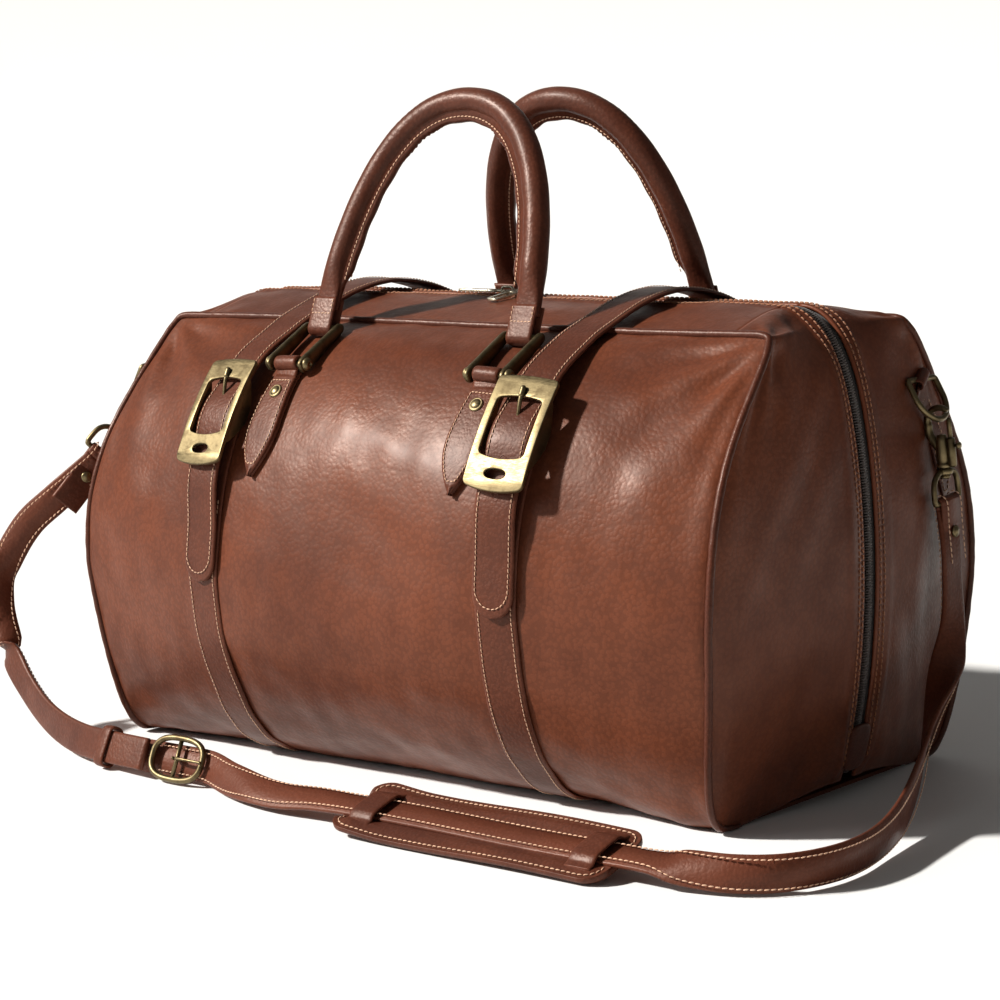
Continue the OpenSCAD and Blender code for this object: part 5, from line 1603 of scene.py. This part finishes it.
def makePad():
    place = Matrix.Translation(pad["at"]) @ Matrix.Rotation(math.radians(pad["tilt"]), 4, "X")
    half, side, corner = pad["length"] / 2, pad["width"] / 2, 13

    def wave(x, y):
        rise = 2.6 * smoothStep(-60, -103, x) + 0.9 * np.sin(x / 26) * (0.4 + 0.6 * np.abs(y) / side)
        return rise + 0.5 * (y / side) ** 2 + 0.6

    xs = np.concatenate([-half + corner * (1 - np.cos(np.linspace(0, math.pi / 2, 12))),
                         np.linspace(-half + corner, half - corner, 90)[1:-1],
                         half - corner * (1 - np.cos(np.linspace(math.pi / 2, 0, 12)))])
    deep = np.maximum(0, np.abs(xs) - (half - corner))
    wide = side - corner + np.sqrt(np.maximum(0.02, corner ** 2 - deep ** 2))
    rings = []
    for x, w in zip(xs, wide):
        ring = []
        for k in np.linspace(-1, 1, 25):
            y = w * math.sin(k * math.pi / 2)
            edge = 1 - 0.55 * abs(k) ** 10
            ring.append((x, y, -1.75 - 0.5 * (1 - edge)))
        for k in np.linspace(1, -1, 25):
            y = w * math.sin(k * math.pi / 2)
            edge = 1 - 0.55 * abs(k) ** 10
            ring.append((x, y, -1.75 - pad["thick"] * edge))
        rings.append(ring)
    rings = np.array(rings, float)
    # pressed line just inside the stitching, padding between
    inset = (wide[:, None] - np.abs(rings[:, :, 1]))
    inset = np.minimum(inset, (half - np.abs(rings[:, :, 0])))
    top = rings[:, :, 2] > -2.6
    under = np.abs(rings[:, :, 1]) < belt["width"] / 2 + 2
    padding = 0.9 * smoothStep(4.5, 10, inset) - 0.5 * np.exp(-((inset - 4) / 1.6) ** 2)
    lift = np.minimum(wave(rings[:, :, 0], rings[:, :, 1]), np.where(under, 0.0, 9.0))
    lift = lift * smoothStep(belt["width"] / 2, belt["width"] / 2 + 9, np.abs(rings[:, :, 1]))
    rings[:, :, 2] += lift * 0.9 + np.where(top & ~under, padding, 0)
    obj = build("shoulderPad", moved(loft(rings), place), strapHide, body="pad", replaces=["shoulder_pad"])
    rows = []
    angle = np.linspace(0, 2 * math.pi, 200, endpoint=False)
    cut = 3.6
    loop = []
    for a in angle:
        c, s = math.cos(a), math.sin(a)
        x = (half - cut) * math.copysign(min(1, abs(c) * 1.35) if abs(c) * 1.35 < 1 else 1, c)
        y = (side - cut) * math.copysign(min(1, abs(s) * 1.35), s)
        loop.append((x, y))
    loop = np.array(loop)
    r = corner - cut
    for i, (x, y) in enumerate(loop):
        dx, dy = abs(x) - (half - cut - r), abs(y) - (side - cut - r)
        if dx > 0 and dy > 0:
            d = math.hypot(dx, dy)
            loop[i] = (math.copysign(half - cut - r + dx / d * r, x),
                       math.copysign(side - cut - r + dy / d * r, y))
    loop = np.vstack([loop, loop[:1]])
    top = -1.75 + 0.9 * wave(loop[:, 0], loop[:, 1]) * smoothStep(11, 20, np.abs(loop[:, 1])) - 0.42
    line = np.column_stack([loop, top + 0.1])
    path = np.array([(place @ Vector(p))[:] for p in line])
    up = np.array((place.to_3x3() @ Vector((0, 0, 1)))[:])
    clear = np.abs(loop[:, 1]) > belt["width"] / 2 + 1.5
    for hand in (-1, 1):
        part = path[clear & (loop[:, 1] * hand > 0)]
        turn = np.argmax(np.linalg.norm(np.diff(part, axis=0), axis=1)) + 1
        if np.linalg.norm(part[turn] - part[turn - 1]) > 15:
            part = np.vstack([part[turn:], part[:turn]])
        rows.append(stitchRow(part, np.tile(up, (len(part), 1)), 3.9, 0.42))
    build("padStitches", joined(rows), tanThread, body="pad")
    bridges = []
    for end in (-1, 1):
        x = end * (half - pad["inset"])
        reach = belt["width"] / 2 + 1.2
        line = through([(x, -reach - 8, -1.6), (x, -reach - 3.2, -0.4), (x, -reach + 1, 2.5),
                        (x, -5, 3.1), (x, 5, 3.1),
                        (x, reach - 1, 2.5), (x, reach + 3.2, -0.4), (x, reach + 8, -1.6)], 8)
        t = tangents(line)
        normals = np.cross(np.array([1.0, 0, 0]), t)
        bridges.append(ribbon(line, normals, 9.5, 1.9))
    build("padBridges", moved(joined(bridges), place), strapHide, body="pad")


def makeBeltBuckle():
    place = Matrix.Translation(belthook["at"]) @ Matrix.Rotation(math.radians(belthook["tilt"]), 4, "X")
    a, b = 25 - 2.0, (belt["width"] + 10) / 2 - 2.0
    loop = []
    for k in np.arange(72) * 2 * math.pi / 72:
        c, s = math.cos(k), math.sin(k)
        loop.append((a * math.copysign(abs(c) ** 0.72, c), b * math.copysign(abs(s) ** 0.72, s), 0))
    rim = tube(loop, 2.1, 16, closed=True, hint=(0, 0, 1))
    rod = tube([(0, -b, 0), (0, b, 0)], 1.5, 18)
    build("strapBuckle", moved(joined([rim, rod]), place), antiqueBrass,
          replaces=["strap_buckle"])
    curl = [(2.9 * math.cos(k), 0, 2.9 * math.sin(k)) for k in np.linspace(-4.3, 1.25, 20)]
    tip = through([curl[-1], (8, 0, 3.5), (16, 0, 2.9), (24.5, 0, 2.75)], 6)
    line = np.vstack([curl[:-1], tip])
    size = np.concatenate([np.full(19, 1.1), np.linspace(1.15, 0.95, len(tip))])
    build("strapBuckleTongue", moved(tube(line, size, 14), place), antiqueBrass, body="strap_tongue",
          replaces=["strap_buckle_tongue"])
    place = Matrix.Translation((-188, -218.5, 15)) @ Matrix.Rotation(math.radians(-10), 4, "Z")
    place = place @ Matrix.Rotation(math.radians(belthook["tilt"]), 4, "X")
    w, h = belt["width"] / 2 + 1.4, belt["thick"] + 1.4
    loop = [(0, w * math.copysign(abs(math.cos(k)) ** 0.3, math.cos(k)),
             h * math.copysign(abs(math.sin(k)) ** 0.5,
            math.sin(k))) for k in np.linspace(-1.2, 2 * math.pi - 1.2, 60)]
    normals = np.array([(0, 0.2 * p[1] / w, p[2] / h) if abs(p[1]) < w * 0.97 else (0,
                                                                                    math.copysign(1, p[1]), 0)
                        for p in loop])
    build("strapKeeper", moved(ribbon(loop, unit(normals), 5, 1.8), place), strapHide,
          replaces=["strap_keeper"])


makeBelt()
makePad()
makeBeltBuckle()
print("stage: shoulder strap")


# ---- lining, and materials for the pieces shown as they were designed
def makeLining():
    under = -(bag["hide"] + 1.1)
    x = np.linspace(-halfLen + 4, halfLen - 4, 60)
    t = np.linspace(0.01, 0.99, 40)
    sheets = []
    for back in (False, True):
        sheets.append(shell(twoSided(hideAt(x[:, None], t[None, :], under, back), back), 0.8))
        run = np.linspace(-halfLen + bag["cornerRun"], halfLen - bag["cornerRun"], 40)
        v = np.linspace(0.02, 0.8, 10)
        sheets.append(shell(twoSided(topHide(run[:, None], v[None, :], under, back), back), 0.8))
        for flipX in (False, True):
            s = np.linspace(0.02, 0.97, 40)
            across = np.linspace(0.86, 0.03, 20)
            sheets.append(shell(twoSided(endHide(s[:, None], across[None, :], under, flipX, back),
                                         flipX != back), 0.8))
    build("liningSheet", joined(sheets), liningCloth, replaces=["lining"])


def dressNodes():
    plain = {"handle_core_front": coreCloth, "handle_core_back": coreCloth, "base_board": boardFibre,
             "base_panel": bodyHide, "zip_end_tabs": strapHide}
    for obj in scene.objects:
        material = plain.get(obj.name)
        if material is not None and obj.type == "MESH":
            obj.data.materials.clear()
            obj.data.materials.append(material)


makeLining()
dressNodes()
print("stage: lining")


# ---- light and floor
def makeStage():
    # a pale floor that curves up into a backdrop far behind
    line = [(-4, 0), (0, 0), (4, 0)]
    line += [(4 + 3 * math.sin(a), 3 - 3 * math.cos(a)) for a in np.linspace(0, math.pi / 2, 16)[1:]]
    line += [(7, 12)]
    turn = math.radians(39.3)
    away = np.array([-math.sin(turn), math.cos(turn)])
    across = np.array([math.cos(turn), math.sin(turn)])
    points, faces = [], []
    for k, (d, z) in enumerate(line):
        for e in (-3.2, 3.2):
            p = away * d + across * e
            points.append((p[0], p[1], z))
        if k:
            faces.append((2 * k - 2, 2 * k - 1, 2 * k + 1, 2 * k))
    floor = bpy.data.meshes.new("floor")
    floor.from_pydata(points, [], faces)
    floor.polygons.foreach_set("use_smooth", [True] * len(faces))
    m, nodes, links, shader = newMaterial("floorPaint")
    where = nodes.new("ShaderNodeTexCoord").outputs["Object"]
    cloud = noiseNode(nodes, links, where, 2, 2)
    links.new(mixNode(nodes, links, cloud, (0.86, 0.86, 0.855), (0.88, 0.88, 0.875)),
              shader.inputs["Base Color"])
    shader.inputs["Roughness"].default_value = 0.8
    shader.inputs["Specular IOR Level"].default_value = 0.1
    floor.materials.append(m)
    ground = bpy.data.objects.new("floor", floor)
    scene.collection.objects.link(ground)
    world = bpy.data.worlds.new("studio")
    world.use_nodes = True
    air = world.node_tree.nodes["Background"]
    air.inputs["Color"].default_value = (1.0, 0.98, 0.95, 1)
    air.inputs["Strength"].default_value = 0.09
    scene.world = world
    key = bpy.data.lights.new("key", "SUN")
    key.energy = 5.4
    key.angle = math.radians(4)
    key.color = (1.0, 0.97, 0.92)
    lamp = bpy.data.objects.new("key", key)
    lamp.rotation_mode = "QUATERNION"
    lamp.rotation_quaternion = Vector((-0.6, -0.62, 0.62)).to_track_quat("Z", "Y")
    scene.collection.objects.link(lamp)
    soft = bpy.data.lights.new("soft", "AREA")
    soft.energy = 12
    soft.size = 1.6
    glow = bpy.data.objects.new("soft", soft)
    glow.location = (-1.5, -2.0, 1.1)
    glow.rotation_mode = "QUATERNION"
    glow.rotation_quaternion = (Vector(glow.location) - Vector((0, 0, 0.15))).to_track_quat("Z", "Y")
    scene.collection.objects.link(glow)


makeStage()
scene.view_settings.view_transform = "Standard"
scene.view_settings.exposure = 0.18
print("stage: done")
